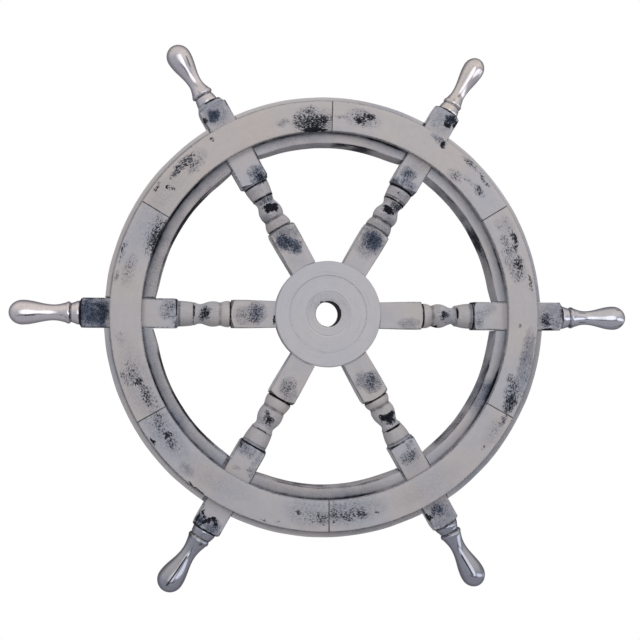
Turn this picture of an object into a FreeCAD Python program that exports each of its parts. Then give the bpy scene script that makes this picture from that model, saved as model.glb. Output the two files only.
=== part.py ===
import FreeCAD, Part
import Sketcher
import math
import os

# A decorative ship wheel, built as a joiner would build it: six spokes tenoned into
# a turned hub, a rim of three layers, and a cast handle studded to every spoke.
#
# Frame: origin at the centre of the bore, half way through the wheel. The wheel's
# axis runs along Y, its front faces -Y and +Z is up. Spoke 1 points along +X and the
# others follow anticlockwise as seen from the front. Lengths are in millimetres.
# A name that ends in "at" is a distance from the wheel's axis, and a length runs
# outwards from the end of the one before it.

SPOKES = 6
HALF_SECTOR = 180 / SPOKES

DRIVING = {
    # square stock of the spokes, which is also the depth of the rim's middle layer
    "stock_size": "27",
    "block_root_width": "25.8",
    "edge_wear": "0.7",
    # hub, turned alike on both faces
    "hub_radius": "51.5",
    "hub_thickness": "30",
    "hub_edge_round": "1",
    "hub_border_width": "14",
    "hub_step_height": "0.5",
    "hub_ring_radius": "21.5",
    "hub_ring_depth": "0.7",
    "hub_ring_half_width": "0.9",
    "bore_radius": "12.25",
    "bore_edge_round": "0.7",
    # round tenon on each spoke and its socket in the hub
    "tenon_radius": "8",
    "tenon_length": "21.5",
    "tenon_root_length": "4.5",
    "glue_gap": "0.1",
    "socket_end_gap": "0.5",
    # rim: the middle layer, the lip it shows outside the facing, and the facing
    "rim_radius": "213",
    "rail_width": "46.4",
    "lip_width": "5.2",
    "facing_width": "30",
    "facing_thickness": "6",
    "facing_edge_wear": "1.2",
    # square block between the hub and the turned part of a spoke
    "block_length": "43",
    # turned part of a spoke, from the hub outwards
    "bead_radius": "12.2",
    "bead_length": "10.8",
    "bead_curve": "22",
    "valley_radius": "10.6",
    "bulb_length": "11.7",
    "bulb_curve": "16.5",
    "bulb_end_radius": "10.9",
    "waist_length": "11.2",
    "waist_curve": "9.6",
    "waist_end_radius": "10.4",
    "ring_length": "1.6",
    "ring_radius": "10.8",
    "quirk_length": "0.7",
    "quirk_radius": "10.1",
    "vase_start_radius": "11",
    "vase_length": "10.1",
    "vase_curve": "22",
    "vase_end_radius": "12.3",
    "collar_rise": "1",
    "collar_length": "4.5",
    "collar_radius": "13.2",
    "shoulder_run": "3.5",
    "clear_radius": "19.8",
    # stub outside the rim, with rounded shoulders
    "stub_length": "23.5",
    "stub_shoulder_length": "5.5",
    "stub_end_round": "1.9",
    "stub_round_radius": "14.4",
    "stub_end_radius": "11.9",
    "stub_waste": "1.5",
    # handle, from its foot to its tip
    "foot_radius": "11.4",
    "foot_rim_length": "2.1",
    "foot_rim_radius": "11.1",
    "foot_cone_length": "4.8",
    "foot_top_radius": "9.6",
    "handle_groove_length": "0.9",
    "handle_groove_radius": "9",
    "handle_collar_radius": "9.9",
    "handle_collar_length": "4.2",
    "handle_collar_curve": "4.7",
    "handle_collar_end_radius": "9.8",
    "flare_length": "6.6",
    "flare_curve": "10.5",
    "neck_radius": "7.3",
    "neck_length": "16",
    "neck_curve": "34",
    "grip_radius": "8.4",
    "grip_length": "18",
    "grip_curve": "52",
    "grip_widest_radius": "11.6",
    "tip_length": "14.8",
    "tip_curve": "12.7",
    # steel stud inside each handle and spoke end
    "stud_radius": "4",
    "stud_length": "44",
    "stud_seat_depth": "20.5",
    "stud_gap": "0.05",
    "stud_end_gap": "1",
}

WORKED_OUT = {
    "stock_half": "=stock_size / 2",
    "root_half": "=block_root_width / 2",
    "cope_radius": "=hub_radius + glue_gap",
    "blank_start_at": "=hub_radius - 4",
    "cope_depth": "=stock_size * 2",
    "bore_edge_radius": "=bore_radius + bore_edge_round",
    "bore_edge_face": "=hub_thickness / 2 - bore_edge_round",
    "hub_face": "=hub_thickness / 2",
    "hub_ring_start": "=hub_ring_radius - hub_ring_half_width",
    "hub_ring_stop": "=hub_ring_radius + hub_ring_half_width",
    "hub_ring_floor": "=hub_thickness / 2 - hub_ring_depth",
    "hub_step_radius": "=hub_radius - hub_border_width",
    "hub_low_face": "=hub_thickness / 2 - hub_step_height",
    "hub_edge_start": "=hub_radius - hub_edge_round",
    "hub_edge_stop": "=hub_thickness / 2 - hub_step_height - hub_edge_round",
    "tenon_end_at": "=hub_radius - tenon_length",
    "tenon_root_at": "=hub_radius + tenon_root_length",
    "socket_radius": "=tenon_radius + glue_gap",
    "socket_end_at": "=tenon_end_at - socket_end_gap",
    "socket_depth": "=tenon_length + socket_end_gap + 2",
    "rail_inner_radius": "=rim_radius - rail_width",
    "facing_outer_radius": "=rim_radius - lip_width",
    "facing_inner_radius": "=facing_outer_radius - facing_width",
    "back_face": "=stock_size / 2 + facing_thickness",
    "block_end_at": "=hub_radius + block_length",
    "turning_start_at": "=block_end_at - shoulder_run",
    "valley_at": "=block_end_at + bead_length",
    "bulb_end_at": "=valley_at + bulb_length",
    "waist_end_at": "=bulb_end_at + waist_length",
    "ring_end_at": "=waist_end_at + ring_length",
    "quirk_at": "=ring_end_at + quirk_length",
    "vase_start_at": "=quirk_at + quirk_length",
    "vase_end_at": "=vase_start_at + vase_length",
    "collar_start_at": "=vase_end_at + collar_rise",
    "collar_end_at": "=collar_start_at + collar_length",
    "turning_stop_at": "=collar_end_at + shoulder_run",
    "stub_end_at": "=rim_radius + stub_length",
    "stub_shoulder_at": "=stub_end_at - stub_shoulder_length",
    "stub_round_at": "=stub_end_at - stub_end_round",
    "stub_waste_at": "=stub_end_at + stub_waste",
    "foot_rim_at": "=stub_end_at + foot_rim_length",
    "foot_top_at": "=foot_rim_at + foot_cone_length",
    "handle_groove_at": "=foot_top_at + handle_groove_length",
    "handle_collar_at": "=handle_groove_at + handle_groove_length",
    "handle_collar_end_at": "=handle_collar_at + handle_collar_length",
    "neck_at": "=handle_collar_end_at + flare_length",
    "grip_at": "=neck_at + neck_length",
    "grip_widest_at": "=grip_at + grip_length",
    "tip_at": "=grip_widest_at + tip_length",
    "stud_start_at": "=stub_end_at - stud_seat_depth",
    "drill_radius": "=stud_radius + stud_gap",
    "spoke_drill_depth": "=stub_end_at - stud_start_at + stud_end_gap",
    "handle_drill_depth": "=stud_start_at + stud_length + stud_end_gap - stub_end_at",
}

doc = FreeCAD.newDocument("ship_wheel")
sheet = doc.addObject("Spreadsheet::Sheet", "Dims")
for row, (alias, value) in enumerate(list(DRIVING.items()) + list(WORKED_OUT.items()), start=1):
    sheet.set("A%d" % row, alias.replace("_", " "))
    sheet.set("B%d" % row, value)
    sheet.setAlias("B%d" % row, alias)
doc.recompute()


def size(alias):
    """The present value of a dimension. A leading minus turns its sign."""
    if alias.startswith("-"):
        return -float(sheet.get(alias[1:]))
    return float(sheet.get(alias))


def drive(thing, path, alias):
    """Let a dimension of the sheet drive a property or a constraint."""
    thing.setExpression(path, "Dims." + alias.lstrip("-"))


def new_body(label, turn):
    """An empty body, turned anticlockwise by that many degrees round the wheel's axis."""
    body = doc.addObject("PartDesign::Body", label)
    body.Label = label
    axis = FreeCAD.Vector(0, -1, 0)
    body.Placement = FreeCAD.Placement(FreeCAD.Vector(0, 0, 0), FreeCAD.Rotation(axis, turn))
    return body


def origin_part(body, role):
    """One of the body's own origin planes or axes."""
    return [item for item in body.Origin.OriginFeatures if item.Role == role][0]


def new_sketch(body, name, plane, lift=None):
    """A sketch on an origin plane of the body, or lifted off it by a dimension."""
    sketch = body.newObject("Sketcher::SketchObject", name)
    sketch.AttachmentSupport = [(origin_part(body, plane), "")]
    sketch.MapMode = "FlatFace"
    if lift:
        sign = "-" if lift.startswith("-") else ""
        sketch.setExpression("AttachmentOffset.Base.z", sign + "Dims." + lift.lstrip("-"))
    doc.recompute()
    return sketch


def constrain(sketch, alias, kind, *geometry):
    """Add a dimension between pieces of a sketch and let the sheet drive it."""
    index = sketch.addConstraint(Sketcher.Constraint(kind, *geometry, size(alias)))
    drive(sketch, "Constraints[%d]" % index, alias)


def hold(sketch, edge, end, across, up):
    """Hold a sketch point at two dimensions. None stands for zero."""
    for kind, axis, alias in (("DistanceX", -2, across), ("DistanceY", -1, up)):
        if alias is None:
            sketch.addConstraint(Sketcher.Constraint("PointOnObject", edge, end, axis))
        elif alias.startswith("-"):
            constrain(sketch, alias[1:], kind, edge, end, -1, 1)
        else:
            constrain(sketch, alias, kind, -1, 1, edge, end)


def draw_profile(sketch, steps):
    """Draw a closed outline of straight and curved edges.

    A step (across, up) is the end of a straight edge. A step (across, up, curve, side)
    is the end of an arc of that radius, which bulges to the left (+1) or to the
    right (-1) of its travel. The last step's end is also the first one's start.
    """
    ends = []
    for step in steps:
        across = size(step[0]) if step[0] else 0
        up = size(step[1]) if step[1] else 0
        ends.append(FreeCAD.Vector(across, up, 0))
    edges = []
    for number, step in enumerate(steps):
        first = ends[number - 1]
        last = ends[number]
        if len(step) == 2:
            edge = sketch.addGeometry(Part.LineSegment(first, last), False)
            edges.append((edge, 1, 2))
            continue
        radius = size(step[2])
        chord = last - first
        left = FreeCAD.Vector(-chord.y, chord.x, 0).normalize()
        rise = math.sqrt(radius**2 - (chord.Length / 2) ** 2)
        centre = (first + last) * 0.5 - left * (rise * step[3])
        # A sketch's arcs always run anticlockwise, so one that bulges left is drawn from its end.
        start, stop = (last, first) if step[3] > 0 else (first, last)
        circle = Part.Circle(centre, FreeCAD.Vector(0, 0, 1), radius)
        begin = math.atan2(start.y - centre.y, start.x - centre.x)
        finish = math.atan2(stop.y - centre.y, stop.x - centre.x)
        arc = Part.ArcOfCircle(circle, begin, finish if finish > begin else finish + math.tau)
        edge = sketch.addGeometry(arc, False)
        edges.append((edge, 2, 1) if step[3] > 0 else (edge, 1, 2))
    for number, (edge, start, end) in enumerate(edges):
        before = edges[number - 1]
        sketch.addConstraint(
            Sketcher.Constraint("Coincident", before[0], before[2], edge, start)
        )
    for (edge, start, end), step in zip(edges, steps):
        hold(sketch, edge, end, step[0], step[1])
        if len(step) == 4:
            constrain(sketch, step[2], "Radius", edge)
    doc.recompute()


def draw_circle(sketch, radius):
    """A circle about the sketch's origin."""
    circle = Part.Circle(FreeCAD.Vector(0, 0, 0), FreeCAD.Vector(0, 0, 1), size(radius))
    edge = sketch.addGeometry(circle, False)
    sketch.addConstraint(Sketcher.Constraint("Coincident", edge, 3, -1, 1))
    constrain(sketch, radius, "Radius", edge)
    doc.recompute()


def draw_sector(sketch, inner, outer, end_inset=None):
    """One sixth of a ring, centred on the sketch's first axis.

    Its ends lie on the lines half a sector away from that axis. With an inset, both
    ends are moved in by that much and stay parallel to those lines.
    """
    inset = size(end_inset) if end_inset else 0
    corners = {}
    for radius in (inner, outer):
        turn = HALF_SECTOR - math.degrees(math.asin(inset / size(radius)))
        for side in (-1, 1):
            spin = FreeCAD.Rotation(FreeCAD.Vector(0, 0, 1), side * turn)
            corners[radius, side] = spin.multVec(FreeCAD.Vector(size(radius), 0, 0))
    arcs = []
    for radius in (inner, outer):
        circle = Part.Circle(FreeCAD.Vector(0, 0, 0), FreeCAD.Vector(0, 0, 1), size(radius))
        turn = math.radians(HALF_SECTOR) - math.asin(inset / size(radius))
        edge = sketch.addGeometry(Part.ArcOfCircle(circle, -turn, turn), False)
        sketch.addConstraint(Sketcher.Constraint("Coincident", edge, 3, -1, 1))
        constrain(sketch, radius, "Radius", edge)
        arcs.append(edge)
    for side, end in ((-1, 1), (1, 2)):
        line = Part.LineSegment(corners[inner, side], corners[outer, side])
        edge = sketch.addGeometry(line, False)
        sketch.addConstraint(Sketcher.Constraint("Coincident", edge, 1, arcs[0], end))
        sketch.addConstraint(Sketcher.Constraint("Coincident", edge, 2, arcs[1], end))
        turn = math.radians(side * HALF_SECTOR)
        sketch.addConstraint(Sketcher.Constraint("Angle", -1, 1, edge, 1, turn))
        if end_inset:
            constrain(sketch, end_inset, "Distance", -1, 1, edge)
        else:
            sketch.addConstraint(Sketcher.Constraint("PointOnObject", -1, 1, edge))
    doc.recompute()


def turn_profile(body, kind, name, sketch, axis):
    """Turn a profile full circle round an axis of its sketch, to add or to cut."""
    feature = body.newObject("PartDesign::" + kind, name)
    feature.Profile = sketch
    feature.ReferenceAxis = (sketch, [axis])
    feature.Angle = 360
    doc.recompute()
    return feature


def extrude(body, kind, name, sketch, length, both_sides=False, backwards=False):
    """Pad or pocket a sketch over a length taken from the sheet."""
    feature = body.newObject("PartDesign::" + kind, name)
    feature.Profile = sketch
    if both_sides:
        feature.SideType = "Symmetric"
    feature.Reversed = backwards
    drive(feature, "Length", length)
    doc.recompute()
    return feature


def wear_edges(body, feature, name, width, is_worn):
    """Break every edge of a feature that the test picks out."""
    names = []
    for number, edge in enumerate(feature.Shape.Edges, start=1):
        if is_worn(edge):
            names.append("Edge%d" % number)
    chamfer = body.newObject("PartDesign::Chamfer", name)
    chamfer.Base = (feature, names)
    drive(chamfer, "Size", width)
    doc.recompute()
    return chamfer


def is_arc(edge):
    return isinstance(edge.Curve, Part.Circle)


def runs_outwards(edge):
    """True for an edge that runs along a spoke, as its four long corners do."""
    along = edge.Vertexes[-1].Point - edge.Vertexes[0].Point
    return abs(along.x) > 10 and abs(along.y) < 0.01


def make_hub():
    """The turned hub: a stepped disc with a bore and six sockets."""
    body = new_body("hub", 0)
    sketch = new_sketch(body, "hub_profile", "XY_Plane")
    front = [
        ("bore_radius", "-bore_edge_face"),
        ("bore_edge_radius", "-hub_face"),
        ("hub_ring_start", "-hub_face"),
        ("hub_ring_radius", "-hub_ring_floor"),
        ("hub_ring_stop", "-hub_face"),
        ("hub_step_radius", "-hub_face"),
        ("hub_step_radius", "-hub_low_face"),
        ("hub_edge_start", "-hub_low_face"),
        ("hub_radius", "-hub_edge_stop"),
    ]
    back = [(across, up.lstrip("-")) for across, up in reversed(front)]
    draw_profile(sketch, front + back)
    turn_profile(body, "Revolution", "hub_disc", sketch, "V_Axis")
    socket_sketch = new_sketch(body, "socket_circle", "YZ_Plane", "socket_end_at")
    draw_circle(socket_sketch, "socket_radius")
    socket = extrude(body, "Pocket", "socket", socket_sketch, "socket_depth", backwards=True)
    pattern = body.newObject("PartDesign::PolarPattern", "sockets")
    pattern.Originals = [socket]
    pattern.Axis = (origin_part(body, "Y_Axis"), [""])
    pattern.Angle = 360
    pattern.Occurrences = SPOKES
    body.Tip = pattern
    doc.recompute()


def make_spoke(label, turn):
    """A spoke: square stock, coped and tenoned at the hub, turned, drilled for its stud."""
    body = new_body(label, turn)
    sketch = new_sketch(body, "blank_outline", "XZ_Plane")
    draw_profile(
        sketch,
        [
            ("blank_start_at", "root_half"),
            ("block_end_at", "stock_half"),
            ("stub_end_at", "stock_half"),
            ("stub_end_at", "-stock_half"),
            ("block_end_at", "-stock_half"),
            ("blank_start_at", "-root_half"),
        ],
    )
    blank = extrude(body, "Pad", "blank", sketch, "stock_size", both_sides=True)
    wear_edges(body, blank, "worn_corners", "edge_wear", runs_outwards)

    sketch = new_sketch(body, "cope_circle", "XZ_Plane")
    draw_circle(sketch, "cope_radius")
    extrude(body, "Pocket", "cope", sketch, "cope_depth", both_sides=True)

    sketch = new_sketch(body, "turning_profile", "XY_Plane")
    draw_profile(
        sketch,
        [
            ("turning_start_at", "clear_radius"),
            ("block_end_at", "bead_radius"),
            ("valley_at", "valley_radius", "bead_curve", 1),
            ("bulb_end_at", "bulb_end_radius", "bulb_curve", 1),
            ("waist_end_at", "waist_end_radius", "waist_curve", -1),
            ("ring_end_at", "ring_radius"),
            ("quirk_at", "quirk_radius"),
            ("vase_start_at", "vase_start_radius"),
            ("vase_end_at", "vase_end_radius", "vase_curve", 1),
            ("collar_start_at", "collar_radius"),
            ("collar_end_at", "collar_radius"),
            ("turning_stop_at", "clear_radius"),
        ],
    )
    turn_profile(body, "Groove", "turning", sketch, "H_Axis")

    sketch = new_sketch(body, "stub_profile", "XY_Plane")
    draw_profile(
        sketch,
        [
            ("stub_shoulder_at", "clear_radius"),
            ("stub_round_at", "stub_round_radius"),
            ("stub_end_at", "stub_end_radius"),
            ("stub_waste_at", "stub_end_radius"),
            ("stub_waste_at", "clear_radius"),
        ],
    )
    turn_profile(body, "Groove", "stub_shoulders", sketch, "H_Axis")

    sketch = new_sketch(body, "tenon_profile", "XY_Plane")
    draw_profile(
        sketch,
        [
            ("tenon_end_at", None),
            ("tenon_end_at", "tenon_radius"),
            ("tenon_root_at", "tenon_radius"),
            ("tenon_root_at", None),
        ],
    )
    turn_profile(body, "Revolution", "tenon", sketch, "H_Axis")

    sketch = new_sketch(body, "drill_circle", "YZ_Plane", "stub_end_at")
    draw_circle(sketch, "drill_radius")
    extrude(body, "Pocket", "stud_hole", sketch, "spoke_drill_depth")


def make_rail_segment(label, turn):
    """A middle piece of the rim, fitted between two spokes."""
    body = new_body(label, turn)
    sketch = new_sketch(body, "segment_outline", "XZ_Plane")
    draw_sector(sketch, "rail_inner_radius", "rim_radius", "stock_half")
    segment = extrude(body, "Pad", "segment", sketch, "stock_size", both_sides=True)
    wear_edges(body, segment, "worn_arrises", "edge_wear", is_arc)


def make_felloe(label, turn, lift):
    """A facing felloe, whose butt ends lie half way between two spokes."""
    body = new_body(label, turn)
    sketch = new_sketch(body, "felloe_outline", "XZ_Plane", lift)
    draw_sector(sketch, "facing_inner_radius", "facing_outer_radius")
    felloe = extrude(body, "Pad", "felloe", sketch, "facing_thickness")
    outer_face = max(abs(vertex.Y) for vertex in felloe.Shape.Vertexes)
    wear_edges(
        body,
        felloe,
        "worn_arrises",
        "facing_edge_wear",
        lambda edge: is_arc(edge) and abs(abs(edge.Vertexes[0].Y) - outer_face) < 0.01,
    )


def make_handle(label, turn):
    """A cast handle: foot, groove, collar, neck and grip in one piece."""
    body = new_body(label, turn)
    sketch = new_sketch(body, "handle_profile", "XY_Plane")
    draw_profile(
        sketch,
        [
            ("stub_end_at", None),
            ("stub_end_at", "foot_radius"),
            ("foot_rim_at", "foot_rim_radius"),
            ("foot_top_at", "foot_top_radius"),
            ("handle_groove_at", "handle_groove_radius"),
            ("handle_collar_at", "handle_collar_radius"),
            ("handle_collar_end_at", "handle_collar_end_radius", "handle_collar_curve", 1),
            ("neck_at", "neck_radius", "flare_curve", -1),
            ("grip_at", "grip_radius", "neck_curve", -1),
            ("grip_widest_at", "grip_widest_radius", "grip_curve", 1),
            ("tip_at", None, "tip_curve", 1),
        ],
    )
    turn_profile(body, "Revolution", "casting", sketch, "H_Axis")
    sketch = new_sketch(body, "drill_circle", "YZ_Plane", "stub_end_at")
    draw_circle(sketch, "drill_radius")
    extrude(body, "Pocket", "stud_hole", sketch, "handle_drill_depth", backwards=True)


def make_stud(label, turn):
    """The steel stud that holds a handle to its spoke."""
    body = new_body(label, turn)
    sketch = new_sketch(body, "stud_circle", "YZ_Plane", "stud_start_at")
    draw_circle(sketch, "stud_radius")
    extrude(body, "Pad", "stud", sketch, "stud_length")


make_hub()
for number in range(SPOKES):
    angle = number * 360 / SPOKES
    name = str(number + 1)
    make_spoke("spoke_" + name, angle)
    make_rail_segment("rail_segment_" + name, angle + HALF_SECTOR)
    make_felloe("front_felloe_" + name, angle, "stock_half")
    make_felloe("back_felloe_" + name, angle, "-back_face")
    make_handle("handle_" + name, angle)
    make_stud("handle_stud_" + name, angle)
doc.recompute()

for item in doc.Objects:
    if "Invalid" in item.State or "Error" in item.State:
        raise RuntimeError("%s is in a bad state: %s" % (item.Label, item.State))

bodies = [item for item in doc.Objects if item.TypeId == "PartDesign::Body"]
for body in bodies:
    shape = body.Shape
    if shape.isNull() or not shape.isValid() or len(shape.Solids) != 1:
        raise RuntimeError("%s is not one good solid" % body.Label)

os.makedirs("parts", exist_ok=True)
for body in bodies:
    body.Shape.exportStep("parts/%s.step" % body.Label)
    box = body.Shape.BoundBox
    print(
        "%-16s volume %9.0f  x %7.1f %7.1f  y %6.1f %6.1f  z %7.1f %7.1f"
        % (
            body.Label,
            body.Shape.Volume,
            box.XMin,
            box.XMax,
            box.YMin,
            box.YMax,
            box.ZMin,
            box.ZMax,
        )
    )
print(len(bodies), "pieces")
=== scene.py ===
import math

import bmesh
import bpy
from mathutils import Matrix, Vector


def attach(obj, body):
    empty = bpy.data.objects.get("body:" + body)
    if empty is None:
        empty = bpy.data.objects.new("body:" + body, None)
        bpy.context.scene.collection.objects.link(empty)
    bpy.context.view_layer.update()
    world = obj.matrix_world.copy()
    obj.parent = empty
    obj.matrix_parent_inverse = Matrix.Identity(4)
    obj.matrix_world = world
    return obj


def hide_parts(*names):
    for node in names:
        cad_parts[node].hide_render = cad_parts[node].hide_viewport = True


bl_info = {
    "name": "Ship wheel",
    "version": (1, 0, 0),
    "blender": (4, 5, 0),
    "location": "3D Viewport > Sidebar > Ship wheel",
    "description": "Dresses a wooden ship wheel in worn whitewash and polished handles",
    "category": "Object",
}

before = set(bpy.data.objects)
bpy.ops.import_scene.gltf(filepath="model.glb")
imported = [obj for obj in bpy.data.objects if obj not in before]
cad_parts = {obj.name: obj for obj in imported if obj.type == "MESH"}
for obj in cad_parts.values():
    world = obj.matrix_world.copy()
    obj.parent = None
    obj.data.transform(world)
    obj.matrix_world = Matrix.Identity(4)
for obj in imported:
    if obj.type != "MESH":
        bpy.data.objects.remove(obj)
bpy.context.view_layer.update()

MM = 0.001
SPOKES = 6
SECTOR = 360 / SPOKES

# Distances from the wheel's axis, in millimetres: the felloes' inner edge, middle and
# outer edge, and the end of a stub.
FELLOE_INNER = 177.8
FELLOE_MIDDLE = 193.0
FELLOE_OUTER = 207.8
STUB_END = 236.5

# Radii of the hub's joints and of the studs' holes, and the distance from a spoke's
# middle to its painted sides, in millimetres.
TENON = 8.0
MORTISE = 8.05
STUD_HOLE = 4.05
PAINTED_SIDE = 13.6

# Vertices that are closer together than WELD become one. Those that are closer to a
# place than TOUCHING lie on it.
WELD = 0.004 * MM
TOUCHING = 0.01 * MM

# How each spoke came off the lathe and went into the wheel, in millimetres. "turn" is
# its angle in degrees and "shift" how far it sits to the anticlockwise side of the
# wheel's axis; "wide" is the rim end's width. Then, from the axis outwards: the square
# block's end, the bead's radius, the (place, radius) of the valley, the bulb, the waist
# and the quirk, the collar and the stub's cut corners.
SPOKE_SHAPES = [
    dict(turn=0.30, shift=-0.9, wide=27.6, block=94.2, bead=12.2, valley=(104.0, 10.1),
         bulb=(110.4, 11.8), waist=(124.2, 8.0), quirk=(127.6, 10.3), collar=141.9, stub=231.0),
    dict(turn=59.64, shift=-0.1, wide=26.9, block=96.6, bead=13.1, valley=(107.0, 10.9),
         bulb=(112.8, 12.4), waist=(124.6, 8.9), quirk=(129.9, 11.0), collar=143.6, stub=231.4),
    dict(turn=120.25, shift=-1.6, wide=28.2, block=95.8, bead=12.7, valley=(106.8, 10.2),
         bulb=(113.2, 11.7), waist=(124.6, 9.0), quirk=(129.9, 10.8), collar=143.3, stub=228.6),
    dict(turn=180.16, shift=0.55, wide=28.2, block=94.0, bead=12.8, valley=(104.0, 11.1),
         bulb=(110.2, 12.3), waist=(123.4, 9.5), quirk=(128.7, 11.2), collar=142.8, stub=231.2),
    dict(turn=240.59, shift=1.2, wide=27.6, block=94.0, bead=12.8, valley=(105.4, 11.1),
         bulb=(112.2, 12.2), waist=(124.0, 9.4), quirk=(128.2, 11.1), collar=142.6, stub=232.4),
    dict(turn=299.77, shift=1.6, wide=26.6, block=94.6, bead=12.6, valley=(103.6, 10.2),
         bulb=(109.4, 11.6), waist=(123.2, 8.5), quirk=(126.8, 10.2), collar=141.0, stub=231.2),
]

# Each handle: its offsets to the anticlockwise side at two places, the radii of foot,
# groove, collar, neck and grip, and where the neck, the widest place and the tip lie.
OFFSET_PLACES = (240, 300)
HANDLE_SHAPES = [
    dict(offsets=(-0.55, -0.40), radii=(11.4, 9.4, 10.7, 6.9, 11.8), neck=262.0,
         widest=291.6, tip=304.1),
    dict(offsets=(-2.10, -2.90), radii=(10.6, 8.9, 9.7, 6.8, 10.7), neck=259.5,
         widest=289.4, tip=301.4),
    dict(offsets=(0.75, 3.55), radii=(10.6, 9.0, 10.6, 6.9, 12.0), neck=259.8,
         widest=289.6, tip=302.3),
    dict(offsets=(1.05, 1.27), radii=(11.5, 9.2, 10.7, 7.6, 11.8), neck=260.8,
         widest=290.0, tip=302.8),
    dict(offsets=(3.30, -1.75), radii=(11.8, 10.1, 11.0, 7.4, 12.5), neck=263.2,
         widest=292.5, tip=305.1),
    dict(offsets=(0.85, 0.53), radii=(11.8, 9.3, 10.8, 7.3, 11.9), neck=262.4,
         widest=291.8, tip=304.9),
]

# Inner and outer radius of each rail segment, as sawn, and how deep the flats are
# that were sanded beside its first and its last spoke.
RAIL_SHAPES = [
    dict(inner=166.6, outer=212.8, flats=(2.2, 0.4)),
    dict(inner=166.4, outer=213.0, flats=(1.8, 0.6)),
    dict(inner=164.6, outer=213.2, flats=(1.6, 1.6)),
    dict(inner=165.6, outer=213.7, flats=(2.4, 0.4)),
    dict(inner=166.3, outer=214.0, flats=(0.5, 0.9)),
    dict(inner=166.2, outer=214.4, flats=(0.6, 0.5)),
]
FLAT_LENGTH = 17.0

# The gap between a rail segment's end and the spoke beside it.
RAIL_GAP = 0.25

# Where two facing felloes butt, in degrees.
BUTTS = [31.7, 89.5, 149.7, 210.0, 270.5, 331.3]


class WheelSizes(bpy.types.PropertyGroup):
    """Lengths that the pieces share with the wheel's solids."""

    stock: bpy.props.FloatProperty(
        name="Stock", description="Side of the spokes' square stock, and depth of the rail",
        default=27 * MM, unit="LENGTH")
    hub_radius: bpy.props.FloatProperty(
        name="Hub radius", description="Radius of the turned hub",
        default=51.5 * MM, unit="LENGTH")
    facing_inner: bpy.props.FloatProperty(
        name="Facing inside", description="Inner radius of the felloes",
        default=FELLOE_INNER * MM, unit="LENGTH")
    facing_outer: bpy.props.FloatProperty(
        name="Facing outside", description="Outer radius of the felloes",
        default=FELLOE_OUTER * MM, unit="LENGTH")
    facing_face: bpy.props.FloatProperty(
        name="Facing face", description="Distance of the felloes' faces from the middle",
        default=19.5 * MM, unit="LENGTH")
    stub_end: bpy.props.FloatProperty(
        name="Stub end", description="Distance of the stubs' ends from the wheel's axis",
        default=STUB_END * MM, unit="LENGTH")
    edge_wear: bpy.props.FloatProperty(
        name="Edge wear", description="How far the sharp edges are sanded off",
        default=0.8 * MM, unit="LENGTH")


class WheelColours(bpy.types.PropertyGroup):
    """Colours of the paint and the metal."""

    warm_coat: bpy.props.FloatVectorProperty(
        name="Warm coat", description="Whitewash where it is thick", subtype="COLOR",
        default=(0.434, 0.406, 0.404), min=0, max=1)
    cool_coat: bpy.props.FloatVectorProperty(
        name="Cool coat", description="Whitewash where it is thin", subtype="COLOR",
        default=(0.392, 0.391, 0.426), min=0, max=1)
    aged_coat: bpy.props.FloatVectorProperty(
        name="Aged coat", description="Whitewash that has yellowed", subtype="COLOR",
        default=(0.445, 0.402, 0.385), min=0, max=1)
    # The haze colour also serves for painted shade in the rim's corners, on its inner wall, on
    # the hub and in the spokes' grooves.
    haze: bpy.props.FloatVectorProperty(
        name="Haze", description="Undercoat that shines through rubbed paint",
        subtype="COLOR", default=(0.066, 0.084, 0.128), min=0, max=1)
    undercoat: bpy.props.FloatVectorProperty(
        name="Undercoat", description="Dark coat under the whitewash", subtype="COLOR",
        default=(0.005, 0.0055, 0.009), min=0, max=1)
    aluminium: bpy.props.FloatVectorProperty(
        name="Aluminium", description="Polished aluminium of the handles",
        subtype="COLOR", default=(0.80, 0.79, 0.80), min=0, max=1)
    steel: bpy.props.FloatVectorProperty(
        name="Steel", description="Steel of the studs", subtype="COLOR",
        default=(0.45, 0.45, 0.46), min=0, max=1)


def clear_selection():
    """Leave the open mesh, if there is one, and select nothing."""
    if bpy.context.object and bpy.context.object.mode != "OBJECT":
        bpy.ops.object.mode_set(mode="OBJECT")
    bpy.ops.object.select_all(action="DESELECT")


def choose(piece):
    """Make a piece the only selected one."""
    clear_selection()
    piece.select_set(True)
    bpy.context.view_layer.objects.active = piece


def work_on(piece):
    """Choose a piece and open its mesh."""
    choose(piece)
    bpy.ops.object.mode_set(mode="EDIT")
    bpy.ops.mesh.select_all(action="DESELECT")


def pick(piece, is_wanted):
    """Select the vertices that a test on their place picks out."""
    bpy.ops.mesh.select_mode(type="VERT")
    mesh = bmesh.from_edit_mesh(piece.data)
    for vertex in mesh.verts:
        vertex.select = is_wanted(vertex.co)
    mesh.select_flush(True)
    bmesh.update_edit_mesh(piece.data)


def name_piece(name):
    """Name the object that was just made, and its mesh."""
    piece = bpy.context.object
    piece.name = name
    piece.data.name = name
    return piece


def add_modifier(piece, kind, **settings):
    """Put a modifier on a piece and apply it."""
    choose(piece)
    bpy.ops.object.modifier_add(type=kind)
    modifier = piece.modifiers[-1]
    for setting, value in settings.items():
        setattr(modifier, setting, value)
    bpy.ops.object.modifier_apply(modifier=modifier.name)


def cut_with(piece, tool, operation):
    """Join, cut or trim a piece with another closed shape, which is used up."""
    add_modifier(piece, "BOOLEAN", operation=operation, object=tool, solver="EXACT")
    bpy.data.objects.remove(tool)


def smooth(piece, angle=32):
    """Shade a piece smooth wherever its faces meet at less than an angle in degrees."""
    choose(piece)
    bpy.ops.object.shade_smooth_by_angle(angle=math.radians(angle))


def turn_about_axis(piece, degrees):
    """Turn a finished mesh anticlockwise round the wheel's axis."""
    piece.data.transform(Matrix.Rotation(math.radians(degrees), 4, Vector((0, -1, 0))))


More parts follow.
